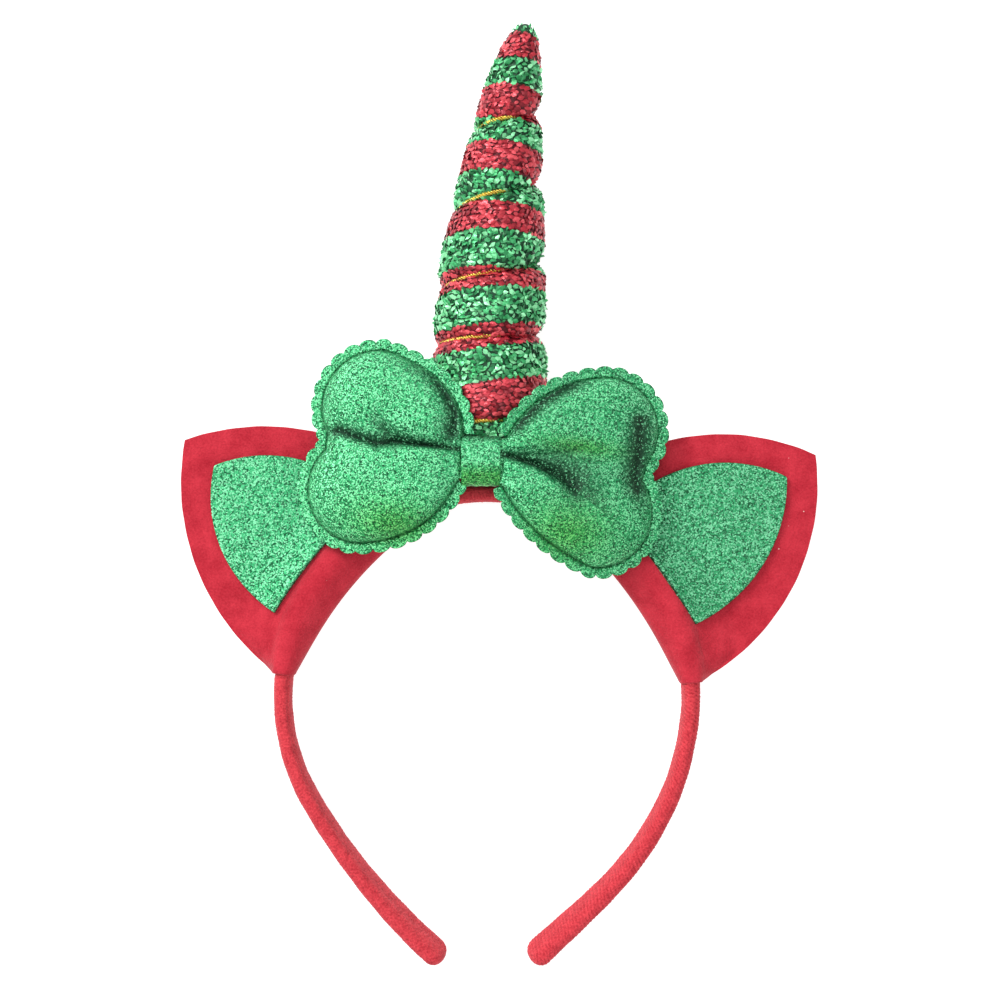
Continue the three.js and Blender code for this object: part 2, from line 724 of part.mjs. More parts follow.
// The strap's section is drawn in its own x and y, and swept along the bow's length.
function bowKnot() {
  const halfHigh = knotHigh / 2;
  const halfDeep = waistThick / 2 + clearance + strapThick;
  const shape = new THREE.Shape();
  shape.moveTo(halfDeep - strapCorner, -halfHigh);
  shape.quadraticCurveTo(halfDeep, -halfHigh, halfDeep + knotCrown * 0.4, -halfHigh + strapCorner);
  shape.quadraticCurveTo(halfDeep + knotCrown * 1.6, 0, halfDeep + knotCrown * 0.4, halfHigh - strapCorner);
  shape.quadraticCurveTo(halfDeep, halfHigh, halfDeep - strapCorner, halfHigh);
  shape.lineTo(-halfDeep + strapCorner, halfHigh);
  shape.quadraticCurveTo(-halfDeep, halfHigh, -halfDeep, halfHigh - strapCorner);
  shape.lineTo(-halfDeep, -halfHigh + strapCorner);
  shape.quadraticCurveTo(-halfDeep, -halfHigh, -halfDeep + strapCorner, -halfHigh);
  const holeHigh = halfHigh - strapThick;
  const holeDeep = waistThick / 2 + clearance;
  shape.holes.push(new THREE.Path([
    new THREE.Vector2(-holeDeep, -holeHigh),
    new THREE.Vector2(-holeDeep, holeHigh),
    new THREE.Vector2(holeDeep, holeHigh),
    new THREE.Vector2(holeDeep, -holeHigh),
  ]));
  const strap = new THREE.ExtrudeGeometry(shape, { depth: knotWide, steps: 2, bevelEnabled: false, curveSegments: 4 });
  strap.translate(0, 0, -knotWide / 2);
  return reshape(strap, (point) => point.set(point.z, point.y, point.x));
}

// Assembly

function named(name, geometry, material) {
  const mesh = new THREE.Mesh(geometry, material);
  mesh.name = name;
  return mesh;
}

// Turns an x, y, z to z, y, x swap back into a body whose faces point outwards.
function outwards(geometry) {
  const bare = geometry.clone();
  bare.deleteAttribute('normal');
  bare.deleteAttribute('uv');
  const merged = mergeVertices(bare, 1e-4);
  const place = merged.getAttribute('position');
  const points = [];
  for (let i = 0; i < place.count; i += 1) points.push(new THREE.Vector3().fromBufferAttribute(place, i));
  const index = merged.getIndex().array;
  const faces = [];
  for (let i = 0; i < index.length; i += 3) faces.push([index[i], index[i + 1], index[i + 2]]);
  return closedSurface(points, faces);
}

// The tip of the headband on the floor: the angle at which the band's tips and the horn's back
// meet one plane, with the horn flattened by hornPress.
function lowestPoint(geometry, angle) {
  const place = geometry.getAttribute('position');
  let lowest = Infinity;
  for (let i = 0; i < place.count; i += 1) {
    lowest = Math.min(lowest, place.getY(i) * Math.sin(angle) + place.getZ(i) * Math.cos(angle));
  }
  return lowest;
}

const bandGeometry = headBand();
const hornGeometry = roundHorn();
let [lessTip, moreTip] = [0, 20 * radian];
for (let i = 0; i < 40; i += 1) {
  const angle = (lessTip + moreTip) / 2;
  if (lowestPoint(hornGeometry, angle) + hornPress < lowestPoint(bandGeometry, angle)) lessTip = angle;
  else moreTip = angle;
}
const restTip = (lessTip + moreTip) / 2;
const floorLevel = lowestPoint(bandGeometry, restTip);

const headpiece = new THREE.Group();
headpiece.add(named('headband', bandGeometry, redWinding));
for (const row of earRows) {
  headpiece.add(named(`ear_${row.name}_felt`, earFelt(row), redFelt));
  headpiece.add(named(`ear_${row.name}_leaf`, earLeaf(row), greenGlitter));
}
headpiece.add(named('horn', restingHorn(restTip, floorLevel), stripedFoil));
headpiece.add(named('horn_cord', woundCord(), goldCord));

const bow = new THREE.Group();
bow.add(named('bow_pad', bowPad(), greenGlitter));
bow.add(named('bow_knot', outwards(bowKnot()), greenGlitter));
bow.position.set(bowSide, bowHeight, bowDepth);
bow.rotation.z = bowTurn * radian;
headpiece.add(bow);

headpiece.rotation.x = restTip;
headpiece.updateMatrixWorld(true);
const box = new THREE.Box3().setFromObject(headpiece, true);
headpiece.position.set(-(box.min.x + box.max.x) / 2, -(box.min.y + box.max.y) / 2, -box.min.z);

const group = new THREE.Group();
group.add(headpiece);

export default group;
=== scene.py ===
"""Unicorn headband, dressed: wound band, felt ears with glitter leaves, foil horn, gold cord and bow."""

import json

import bpy
import numpy as np
from mathutils import Matrix, Vector


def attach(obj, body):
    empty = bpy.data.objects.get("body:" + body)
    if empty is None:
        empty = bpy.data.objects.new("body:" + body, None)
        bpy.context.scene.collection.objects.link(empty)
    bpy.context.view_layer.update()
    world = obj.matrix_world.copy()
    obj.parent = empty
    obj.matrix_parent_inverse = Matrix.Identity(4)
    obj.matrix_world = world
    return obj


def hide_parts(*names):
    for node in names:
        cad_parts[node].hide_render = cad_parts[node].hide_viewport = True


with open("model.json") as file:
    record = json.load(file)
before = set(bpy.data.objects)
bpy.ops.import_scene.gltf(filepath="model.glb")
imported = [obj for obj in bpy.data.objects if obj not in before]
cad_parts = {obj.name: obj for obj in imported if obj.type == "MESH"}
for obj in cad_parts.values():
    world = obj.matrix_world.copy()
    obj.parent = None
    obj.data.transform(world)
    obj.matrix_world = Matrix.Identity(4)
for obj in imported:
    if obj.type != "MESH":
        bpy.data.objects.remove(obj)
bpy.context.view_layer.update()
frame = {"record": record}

# How it lies. The headband rests on its back, tipped a few degrees because the horn is thicker than
# the band. Every piece is worked out in millimetres in the band's own plane (x to the right, y up the
# horn, z to the front, zero at the middle of the band's arc) and then laid on the floor.

CLEARANCE = 0.3
BAND_INNER = 62.4
CROWN_FACETS = 41
BAND_ARC = np.radians(120)

seat = next(mount for mount in frame["record"]["mounts"] if mount["name"] == "head_seat")
rest_tip = np.arctan2(-seat["axis"][2], -seat["axis"][1])
UP_THE_HORN = np.array([0, np.cos(rest_tip), np.sin(rest_tip)])
TO_THE_FRONT = np.array([0, -np.sin(rest_tip), np.cos(rest_tip)])
seat_height = BAND_INNER * np.cos(BAND_ARC / CROWN_FACETS) / 1000
arc_middle = np.array(seat["pos_m"]) - seat_height * UP_THE_HORN


def laid(points):
    """Points (..., 3) of the band's plane in mm, in metres on the floor: middle + x X + y up + z front."""
    across = points[..., :1] * np.array([1.0, 0.0, 0.0])
    return arc_middle + (across + points[..., 1:2] * UP_THE_HORN + points[..., 2:] * TO_THE_FRONT) / 1000


# Head band. A springy plastic band wound with a strip of red fleece. The strip's ribs cross the crown
# squarely and slant on the legs, and its folded edge shows as a line along each leg. Painted shade
# darkens that line and the dips between the ribs, and a painted highlight lightens the ribs' backs.

BAND_THICK = 5.6
BAND_WIDE = 11.0
LEG_RADIUS = 200.0
LEG_ARC = np.radians(18)
TIP_TWIST = np.radians(28)
TWIST_FROM = np.radians(55)
TWIST_POWER = 2.2
TIP_ROUND = 4.2
TIP_POWER = 2.1
BAND_POWER = 2.7
RIGHT_BOW = 2.3
RIGHT_BOW_FROM = 112.0
RIGHT_BOW_TO = 196.0
BAND_MID = BAND_INNER + BAND_THICK / 2
BAND_OUTER = BAND_INNER + BAND_THICK
CROWN_LENGTH = BAND_MID * BAND_ARC
BAND_LENGTH = CROWN_LENGTH + LEG_RADIUS * LEG_ARC
RIB_PITCH = 1.35
RIBS_ROUND = 10
FUZZ = 0.06

# Along the band, as (distance from the crown, value): the ribs' height, and the place round the section
# and the depth of the winding's folded edge.
RIB_HEIGHTS = [
    (-BAND_LENGTH, 0.1), (-165, 0.07), (-140, 0.05), (-80, 0.05), (0, 0.06), (70, 0.12), (110, 0.2),
    (BAND_LENGTH, 0.26),
]
EDGE_PLACES = [
    (-BAND_LENGTH, -1.75), (-150, -1.1), (-95, -0.5), (0, -0.4), (95, 0.45), (150, 0.3), (BAND_LENGTH, -0.2),
]
EDGE_DEPTHS = [(-BAND_LENGTH, 0.3), (-100, 0.32), (-75, 0), (85, 0), (105, 0.4), (150, 0.3), (185, 0)]
FLEECE_RED = (0.74, 0.06, 0.078, 1)
FLEECE_DEEP = (0.42, 0.02, 0.032, 1)


def band_twist(along):
    """Twist at a distance from the crown, in radians: TIP_TWIST * share ** TWIST_POWER past TWIST_FROM."""
    start = BAND_MID * TWIST_FROM
    return TIP_TWIST * np.clip((along - start) / (BAND_LENGTH - start), 0, 1) ** TWIST_POWER


def band_path(distance):
    """Place, travel, across and deep axes of the band at signed distances from the crown. The middle
    line is an arc of radius BAND_MID that runs on into an arc of radius LEG_RADIUS with the same tangent,
    and the right leg is sprung outwards by RIGHT_BOW * sin^2 of its share."""
    side = np.where(distance < 0, -1.0, 1.0)
    along = np.abs(distance)
    on_arc = np.minimum(along, CROWN_LENGTH)
    turn = on_arc / BAND_MID + (along - on_arc) / LEG_RADIUS
    radius = np.where(along > CROWN_LENGTH, LEG_RADIUS, BAND_MID)
    shift = BAND_MID - radius
    flat = np.zeros_like(turn)
    place = np.stack([
        side * (shift * np.sin(BAND_ARC) + radius * np.sin(turn)),
        shift * np.cos(BAND_ARC) + radius * np.cos(turn),
        flat,
    ], -1)
    travel = np.stack([np.cos(turn), -side * np.sin(turn), flat], -1)
    out = np.stack([side * np.sin(turn), np.cos(turn), flat], -1)
    share = np.clip((distance - RIGHT_BOW_FROM) / (RIGHT_BOW_TO - RIGHT_BOW_FROM), 0, 1)
    place = place + out * (RIGHT_BOW * np.sin(np.pi * share) ** 2)[..., None]
    front = np.array([0.0, 0.0, 1.0])
    twist = band_twist(along)[..., None]
    across = out * np.cos(twist) - front * np.sin(twist)
    deep = front * np.cos(twist) + out * np.sin(twist)
    return place, travel, across, deep


def unit(vectors):
    """The same vectors (..., n) at length 1."""
    return vectors / np.maximum(np.linalg.norm(vectors, axis=-1, keepdims=True), 1e-6)


def rounded(value, power):
    """Term of a superellipse: |value| ** power, with the value's sign."""
    return np.sign(value) * np.abs(value) ** power


def distances(line):
    """How far each point of a line (n, k) is from its start, along the line."""
    return np.concatenate([[0], np.cumsum(np.linalg.norm(np.diff(line, axis=0), axis=-1))])


def value_at(table, place):
    """The value at a place in a table of (place, value), evenly between its rows."""
    return np.interp(place, *np.transpose(table))


def loft(rings):
    """Closed skin over rings (rows, columns, 3): quads between them and a fan to each end's mean point."""
    rows, columns = rings.shape[:2]
    at = np.arange(rows * columns).reshape(rows, columns)
    ahead = np.roll(at, -1, axis=1)
    quads = np.stack([at[:-1], ahead[:-1], ahead[1:], at[1:]], -1).reshape(-1, 4)
    ends = np.stack([rings[0].mean(0), rings[-1].mean(0)])
    first = np.full(columns, rows * columns)
    fans = np.concatenate([
        np.stack([first, ahead[0], at[0]], -1),
        np.stack([first + 1, at[-1], ahead[-1]], -1),
    ])
    return np.concatenate([rings.reshape(-1, 3), ends]), [quads, fans]


def with_ends(values):
    """One value for each point of a loft: those of the rings, then one of the first and of the last ring."""
    return np.concatenate([values.ravel(), values[0, :1], values[-1, :1]])


def volume(points, face_sets):
    """Signed volume: a sixth of the sum of a . (b x c) over the triangles of each face's fan."""
    total = 0.0
    for faces in face_sets:
        for k in range(1, faces.shape[1] - 1):
            a, b, c = points[faces[:, 0]], points[faces[:, k]], points[faces[:, k + 1]]
            total += (a * np.cross(b, c)).sum() / 6
    return total


def placed(name, data):
    """A new object in the scene."""
    made = bpy.data.objects.new(name, data)
    bpy.context.scene.collection.objects.link(made)
    return made


def piece(name, points, face_sets, node, slot, material, smooth=True, **attributes):
    """One piece of the headband from points in mm, its faces turned outwards. It rides on the root body,
    stands for a CAD node, and may carry attributes with one number or one colour for each point."""
    if volume(points, face_sets) < 0:
        face_sets = [faces[:, ::-1] for faces in face_sets]
    mesh = bpy.data.meshes.new(name)
    mesh.vertices.add(len(points))
    mesh.vertices.foreach_set("co", laid(points).astype(np.float32).ravel())
    sizes = np.concatenate([np.full(len(faces), faces.shape[1]) for faces in face_sets])
    corners = np.concatenate([faces.ravel() for faces in face_sets])
    mesh.loops.add(len(corners))
    mesh.loops.foreach_set("vertex_index", corners.astype(np.int32))
    mesh.polygons.add(len(sizes))
    mesh.polygons.foreach_set("loop_start", (np.cumsum(sizes) - sizes).astype(np.int32))
    mesh.update(calc_edges=True)
    for key, values in attributes.items():
        kind, field = ("FLOAT", "value") if values.ndim == 1 else ("FLOAT_COLOR", "color")
        mesh.attributes.new(key, kind, "POINT").data.foreach_set(field, values.astype(np.float32).ravel())
    mesh.polygons.foreach_set("use_smooth", np.full(len(sizes), smooth))
    mesh.materials.append(material)
    made = placed(name, mesh)
    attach(made, "root")
    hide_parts(node)
    return made


class Wire:
    """A socket in a material. Sums, differences and products of wires and numbers add Math nodes."""

    def __init__(self, socket):
        self.socket = socket

    def node(self, kind, settings, inputs, output=0):
        """Adds a node beside this socket: its settings first, then the values or links of its sockets."""
        tree = self.socket.id_data
        made = tree.nodes.new("ShaderNode" + kind)
        for key, value in settings.items():
            if key == "stops":
                ramp = made.color_ramp.elements
                while len(ramp) < len(value):
                    ramp.new(1)
                for element, (place, colour) in zip(ramp, value):
                    element.position, element.color = place, colour
            else:
                setattr(made, key, value)
        for key, value in inputs.items():
            if isinstance(value, Wire):
                tree.links.new(value.socket, made.inputs[key])
            else:
                made.inputs[key].default_value = value
        return Wire(made.outputs[output])

    def maths(self, operation, first, second):
        return self.node("Math", {"operation": operation}, {0: first, 1: second})

    def __add__(self, other):
        return self.maths("ADD", self, other)

    __radd__ = __add__

    def __sub__(self, other):
        return self.maths("SUBTRACT", self, other)

    def __rsub__(self, other):
        return self.maths("SUBTRACT", other, self)

    def __mul__(self, other):
        return self.maths("MULTIPLY", self, other)

    __rmul__ = __mul__

    def within(self, low, high):
        """0 below low, 1 above high, and evenly between."""
        return self.node("MapRange", {"clamp": True}, {"Value": self, "From Min": low, "From Max": high})

    def blend(self, first, second):
        """The first colour where this is 0 and the second where it is 1."""
        return self.node("Mix", {"data_type": "RGBA"}, {"Factor": self, 6: first, 7: second}, 2)

    def vectors(self, operation, other, output="Vector"):
        return self.node("VectorMath", {"operation": operation}, {0: self, 1: other}, output)

    def noise(self, size, detail=2.0):
        """Cloudy values from 0 to 1 with patches of about this size in mm, on this place."""
        settings = {"noise_dimensions": "3D"}
        return self.node("TexNoise", settings, {"Vector": self, "Scale": 1000 / size, "Detail": detail})


class Finish:
    """A material with one Principled surface, whose constants are set on the surface's own sockets."""

    def __init__(self, name, **constants):
        self.material = bpy.data.materials.new(name)
        self.material.use_nodes = True
        self.tree = self.material.node_tree
        self.surface = self.tree.nodes["Principled BSDF"]
        for key, value in constants.items():
            self.surface.inputs[key.replace("_", " ")].default_value = value
        self.place = Wire(self.tree.nodes.new("ShaderNodeTexCoord").outputs["Object"])
        self.normal = Wire(self.tree.nodes.new("ShaderNodeNewGeometry").outputs["Normal"])

    def attribute(self, name, output="Fac"):
        node = self.tree.nodes.new("ShaderNodeAttribute")
        node.attribute_name = name
        return Wire(node.outputs[output])

    def feed(self, socket, wire):
        self.tree.links.new(wire.socket, self.surface.inputs[socket])

    def bump(self, height, depth):
        """Feeds Normal from heights of 0 to 1 that stand for a depth in mm."""
        settings = {"Height": height, "Strength": 1.0, "Distance": depth / 1000}
        self.feed("Normal", height.node("Bump", {}, settings))


def fleece():
    """Brushed red cloth: short fibres in two sizes, with painted shade deep red between the ribs and a
    painted highlight paler on their backs.
    """
    cloth = Finish("red_fleece", Roughness=0.95, Sheen_Weight=0.12, Specular_IOR_Level=0.2)
    fibres = cloth.place.noise(0.6, 4.0)
    patches = cloth.place.noise(2.6, 3.0)
    lit = (cloth.attribute("rib") * 0.6 + fibres * 2.2 + patches * 1.2 - 1.55).within(0, 1)
    cloth.feed("Base Color", lit.blend(FLEECE_DEEP, FLEECE_RED))
    cloth.bump(fibres, 0.4)
    return cloth.material


def band_rings(distance, around):
    """Rings of the wound band, and the painted shade of its cloth. The section is a superellipse of power
    BAND_POWER, half sizes BAND_THICK / 2 and BAND_WIDE / 2, pushed out by ribs: height times a rounded wave
    of (distance - slant * (around - square * sin(around))) / RIB_PITCH. Ends shrink to round tips. The
    painted shade value it returns is lowest between the ribs and in the folded edge, and highest on the
    ribs' backs."""
    on_band = np.clip(distance, -BAND_LENGTH, BAND_LENGTH)
    place, travel, across, deep = band_path(on_band)
    push = distance - on_band
    scale = (1 - np.minimum(np.abs(push) / TIP_ROUND, 0.999) ** TIP_POWER) ** (1 / TIP_POWER)
    sine, cosine = np.sin(around), np.cos(around)
    thick = BAND_THICK / 2 * rounded(sine, 2 / BAND_POWER)
    wide = BAND_WIDE / 2 * rounded(cosine, 2 / BAND_POWER)
    out_thick = rounded(sine, 2 - 2 / BAND_POWER) / BAND_THICK
    out_wide = rounded(cosine, 2 - 2 / BAND_POWER) / BAND_WIDE
    length = np.hypot(out_thick, out_wide)
    s, a = distance[:, None], around[None]
    slant = RIBS_ROUND * RIB_PITCH / (2 * np.pi)
    square = np.interp(s, [-120, -60, 60, 120], [0, 1, 1, 0])
    waver = 0.35 * np.sin(s / 7.7) + 0.25 * np.sin(s / 3.3 + 1)
    phase = (s + waver - slant * (a - square * np.sin(a))) / RIB_PITCH
    wave = np.abs(np.sin(np.pi * phase)) ** 0.7
    height = value_at(RIB_HEIGHTS, s)
    past = (a - value_at(EDGE_PLACES, s) + np.pi) % (2 * np.pi) - np.pi
    seam = value_at(EDGE_DEPTHS, s) * np.where(past > 0, np.exp(-past / 0.08), np.exp(past / 0.22))
    lumps = 0.1 * np.sin(s / 5.3 + 1.7 * np.sin(a)) * np.sin(s / 3.1 + a)
    lumps = lumps * np.interp(np.abs(s), [60, 110], [0, 1])
    out = height * (wave - 0.6) - seam + lumps + FUZZ * noise.standard_normal(wave.shape)
    section_thick = thick * scale[:, None] + out * out_thick / length
    section_wide = wide * scale[:, None] + out * out_wide / length
    rings = (place + travel * push[:, None])[:, None]
    rings = rings + across[:, None] * section_thick[..., None] + deep[:, None] * section_wide[..., None]
    strength = np.clip(height / 0.2, 0.2, 1)
    return rings, wave * strength + (1 - strength) * 0.7 - seam


noise = np.random.default_rng(24)
stations = np.linspace(-BAND_LENGTH - TIP_ROUND * 0.995, BAND_LENGTH + TIP_ROUND * 0.995, 1800)
rings, ribs = band_rings(stations, np.linspace(-np.pi, np.pi, 48, endpoint=False))
points, faces = loft(rings)
piece("headband_winding", points, faces, "headband", "red_winding", fleece(), rib=with_ends(ribs))

# Ears. Each is one piece of red felt folded over the band, with the fold towards the head and the two
# layers glued together beyond the band, and its two edges cut as arcs that meet at the point.

FELT = 1.2
EAR_HEIGHT = 60.5
FOLD_SLACK = 5.2
SLEEVE_SLOPE = 12.5
SLEEVE_LIP = 1.8
SLEEVE_SHOULDER = 0.72
END_TIGHT = 0.5
END_POWER = 6
EARS = {
    "left": {"side": -1, "lean": 40.4, "span": 33.6, "reach": 0.97, "bulge": 11.2},
    "right": {"side": 1, "lean": 36.4, "span": 32.0, "reach": 1.03, "bulge": 12.7},
}
FELT_RED = (0.63, 0.037, 0.06, 1)
FELT_DEEP = (0.36, 0.009, 0.022, 1)


def felt_cloth():
    """Pressed felt: fine matted fibres with faint cloudy patches, and a few stray flakes of glitter."""
    cloth = Finish("red_felt", Roughness=1.0, Sheen_Weight=0.15, Specular_IOR_Level=0.15)
    fibres = cloth.place.noise(0.6, 4.0)
    patches = cloth.place.noise(6.0, 4.0)
    red = (fibres * 0.9 + patches * 1.1 - 0.5).within(0.1, 0.9).blend(FELT_DEEP, FELT_RED)
    cells = {"Vector": cloth.place, "Scale": 1000 / 1.6}
    flake = cloth.place.node("TexVoronoi", {"feature": "F1"}, cells)
    chance = cloth.place.node("TexVoronoi", {"feature": "F1"}, cells, "Color")
    rare = chance.node("SeparateColor", {}, {"Color": chance}).within(0.985, 0.99)
    speck = rare * (1 - flake.within(0.1, 0.14))
    cloth.feed("Base Color", speck.blend(red, (0.8, 0.55, 0.5, 1)))
    cloth.bump(fibres, 0.35)
    return cloth.material


def arc_between(start, end, bulge, share):
    """Points at shares of the round arc from one 2-D point to another that bows to the left by bulge:
    the radius is (h^2 + bulge^2) / (2 bulge) for half a chord h."""
    chord = end - start
    half = np.linalg.norm(chord, axis=-1, keepdims=True) / 2
    radius = (half ** 2 + bulge ** 2) / (2 * bulge)
    along = chord / (2 * half)
    left = np.stack([-along[..., 1], along[..., 0]], -1)
    centre = (start + end) / 2 + left * (bulge - radius)
    angle = np.arcsin(half / radius) * (2 * share[..., None] - 1)
    return centre + left * radius * np.cos(angle) + along * radius * np.sin(angle)


def rounded_line(corners, count):
    """Points along a line of corners (k, ..., 2) with every corner rounded: from the middle of one stretch
    to the middle of the next it runs as (1-t)^2 m0 + 2t(1-t) corner + t^2 m1."""
    middles = (corners[:-1] + corners[1:]) / 2
    starts = np.concatenate([corners[:1], middles])
    ends = np.concatenate([middles, corners[-1:]])
    run = np.linspace(0, len(corners) - 1e-6, count)
    index = run.astype(int)
    t = (run - index).reshape((-1,) + (1,) * (corners.ndim - 1))
    return (1 - t) ** 2 * starts[index] + 2 * t * (1 - t) * corners[index] + t ** 2 * ends[index]


def polar(side, angle, radius, depth):
    """A point from its angle at the crown, its radius and its depth: (side r sin a, r cos a, depth)."""
    return np.stack(np.broadcast_arrays(side * radius * np.sin(angle), radius * np.cos(angle), depth), -1)


def band_room(angle):
    """Half thickness and half width that the twisted band needs inside the fold at an angle."""
    twist = band_twist(BAND_MID * angle)
    corner = 2.3
    thick, wide = BAND_THICK / 2 - corner, BAND_WIDE / 2 - corner
    return (
        thick * np.cos(twist) + wide * np.sin(twist) + corner + CLEARANCE,
        wide * np.cos(twist) + thick * np.sin(twist) + corner + CLEARANCE,
    )


def sheet_with_wall(middle, wall, rim):
    """Closed sheet from its middle surface (rows, columns, 3): both faces lie wall / 2 along the normal,
    which is the cross product of the two grid directions, and the rim is rounded out by rim."""
    down, right = np.gradient(middle, axis=0), np.gradient(middle, axis=1)
    normal = unit(np.cross(down, right))
    rows, columns = middle.shape[:2]
    at = np.arange(rows * columns).reshape(rows, columns)
    front = np.stack([at[:-1, :-1], at[1:, :-1], at[1:, 1:], at[:-1, 1:]], -1).reshape(-1, 4)
    border = np.concatenate([at[0, :-1], at[:-1, -1], at[-1, :0:-1], at[:0:-1, 0]])
    flat_middle = middle.reshape(-1, 3)
    inward = np.zeros_like(middle)
    inward[0], inward[-1] = down[0], -down[-1]
    inward[:, 0] += right[:, 0]
    inward[:, -1] -= right[:, -1]
    edge = flat_middle[border] - unit(inward.reshape(-1, 3)[border]) * rim
    offset = (normal * np.broadcast_to(wall, (rows, columns))[..., None] / 2).reshape(-1, 3)
    total = rows * columns
    turn = np.arange(len(border))
    ahead = np.roll(turn, -1)
    rim_at = 2 * total
    upper = np.stack([border, border[ahead], rim_at + ahead, rim_at + turn], -1)
    lower = np.stack([rim_at + turn, rim_at + ahead, total + border[ahead], total + border], -1)
    points = np.concatenate([flat_middle + offset, flat_middle - offset, edge])
    return points, [front, front[:, ::-1] + total, upper, lower]


def ear_section(edge, share, angle, rows):
    """Section of a folded ear, radius and depth at rows points. It runs from the edge of the front layer
    over the band's front corner, round the fold at the head side and back to the edge of the back layer. At
    the ear's ends the felt is tight over the band by END_TIGHT, and its edges stop on the band's side."""
    thick, wide = band_room(angle)
    tight = END_TIGHT * np.abs(share) ** END_POWER
    thick, half = thick - tight, FELT / 2 + 0.02 - tight / 2
    wall = BAND_MID + thick + half
    slack = FOLD_SLACK * (1 - share ** 2)
    nose = BAND_MID - thick - half - slack
    room = np.maximum(edge - wall, 0)
    merge = wall + np.minimum(SLEEVE_SLOPE, room * 0.8)
    lifted = half + (wide * SLEEVE_SHOULDER - half) * np.clip(1 - room / 4, 0, 1) ** 2
    flat = [(edge + (merge - edge) * part, lifted) for part in (0, 0.15, 0.4, 0.65, 0.85, 1)]
    over = [
        (wall + np.minimum(1.6, room / 4), lifted + (wide - lifted) * 0.5),
        (wall - 0.3, wide * 0.96),
        (wall - SLEEVE_LIP - 0.6, wide + half),
        (BAND_MID - thick - half + SLEEVE_LIP, wide + half),
        (BAND_MID - thick - half - slack * 0.35, wide * SLEEVE_SHOULDER),
        (nose + slack * 0.08, wide * 0.38),
    ]
    upper = np.array(flat + over)
    under = upper[::-1] * np.array([1.0, -1.0])[:, None]
    corners = np.concatenate([upper, np.array([[nose, 0 * nose]]), under])
    return rounded_line(np.moveaxis(corners, 1, -1), rows)


def ear_middle(ear, rows, columns):
    """Middle surface of a folded ear, in sections through the arc's centre, and its wall. The edge's radius
    follows the two arcs that meet at the ear's point, from the band's outer side at the ear's ends."""
    centre, span = np.radians(90 - ear["lean"]), np.radians(ear["span"])
    along = np.linspace(-1, 1, columns)
    towards = np.where(along < 0, -1.0, 1.0)
    corner = BAND_OUTER + CLEARANCE + 0 * towards
    start = np.stack([corner * np.cos(span), corner * np.sin(span)], -1)
    tip = np.array([BAND_OUTER + EAR_HEIGHT * ear["reach"], 0.0])
    edge_at = arc_between(start, tip, ear["bulge"], 1 - np.abs(along))
    offset = towards * np.arctan2(edge_at[:, 1], edge_at[:, 0])
    angle = centre + offset
    edge = np.hypot(edge_at[:, 0], edge_at[:, 1]) + 0.1 * np.sin(41 * along + 1) * np.sin(17 * along)
    section = ear_section(edge, offset / span, angle, rows)
    tight = END_TIGHT * np.abs(offset / span) ** END_POWER
    return polar(ear["side"], angle[None], section[..., 0], section[..., 1]), FELT - tight


felt = felt_cloth()
for name, ear in EARS.items():
    middle, wall = ear_middle(ear, 151, 121)
    x, y = middle[..., 0], middle[..., 1]
    middle[..., 2] += 0.28 * np.sin(x / 6.1 + 0.7 * np.sin(y / 9.0)) * np.sin(y / 7.3 + ear["side"])
    points, faces = sheet_with_wall(middle, wall, 0.18)
    folded = piece(f"ear_{name}_felt", points, faces, f"ear_{name}_felt", "red_felt", felt)

# Leaves. One leaf of glitter-covered foam sheet, glued to the front of each ear, its foot under the bow.

LEAF_THICK = 1.8
LEAF_GRAIN = 0.42
LEAF_FOOT_BOW = 1.8
LEAF_POINT = 0.3
LEAF_START = 0.4
# Each leaf's shade darkens its whole film as painted shade, the right leaf being less lit.
LEAVES = {
    "left": {"tip": 0.76, "foot": 0.02, "upper": (0.38, 8.0), "lower": (0.38, 8.0), "shade": 0.0},
    "right": {"tip": 0.835, "foot": -0.02, "upper": (0.368, 9.8), "lower": (0.335, 8.3), "shade": 0.24},
}
GREEN_SHADE = (0.006, 0.12, 0.042, 1)
GREEN_BODY = (0.04, 0.42, 0.16, 1)
GREEN_SPARK = (0.28, 0.92, 0.5, 1)
# Tint of the painted warm light from below.
WARM_LIGHT_TINT = (0.6, 0.71, 0.36)
# Green of the painted shade.
PAINTED_SHADE_GREEN = (0.002, 0.032, 0.012, 1)


def glitter(name, grain, spread, shade, body, spark):
    """Glitter film: cells of about grain mm, each a flake with its own tilt, which adds spread * (random
    vector - 0.5) to the surface's normal, and its own green from shade through body to spark at random:
    partly the flakes' own tones, partly painted glints in the brightest and painted shade in the darkest.
    The warm light attribute paints warm light from below, turning the film towards yellow green, and the
    shade attribute paints shade, darkening pressed and creased film, its brightest flakes least."""
    film = Finish(name, Roughness=0.45, Metallic=0.3, Specular_IOR_Level=0.3)
    cells = {"Vector": film.place, "Scale": 1000 / grain}
    random = film.place.node("TexVoronoi", {"feature": "F1"}, cells, "Color")
    tone = random.node("SeparateColor", {}, {"Color": random})
    patches = film.place.noise(5.0, 2.0)
    stops = {"stops": [(0.0, shade), (0.24, shade), (0.36, body), (0.62, body), (0.8, spark), (1.0, spark)]}
    level = tone + patches * 0.24 - 0.12
    green = level.node("ValToRGB", stops, {"Fac": level})
    warm_lit = film.attribute("warm").within(0, 1).blend(green, green.vectors("MULTIPLY", WARM_LIGHT_TINT))
    dark = film.attribute("shade").within(0, 1) * (1 - tone.within(0.86, 0.93) * 0.6)
    film.feed("Base Color", dark.blend(warm_lit, PAINTED_SHADE_GREEN))
    tilt = random.vectors("SUBTRACT", (0.5, 0.5, 0.5)).vectors("MULTIPLY", (spread, spread, spread))
    film.feed("Normal", film.normal.vectors("ADD", tilt).vectors("NORMALIZE", (0, 0, 0)))
    return film.material


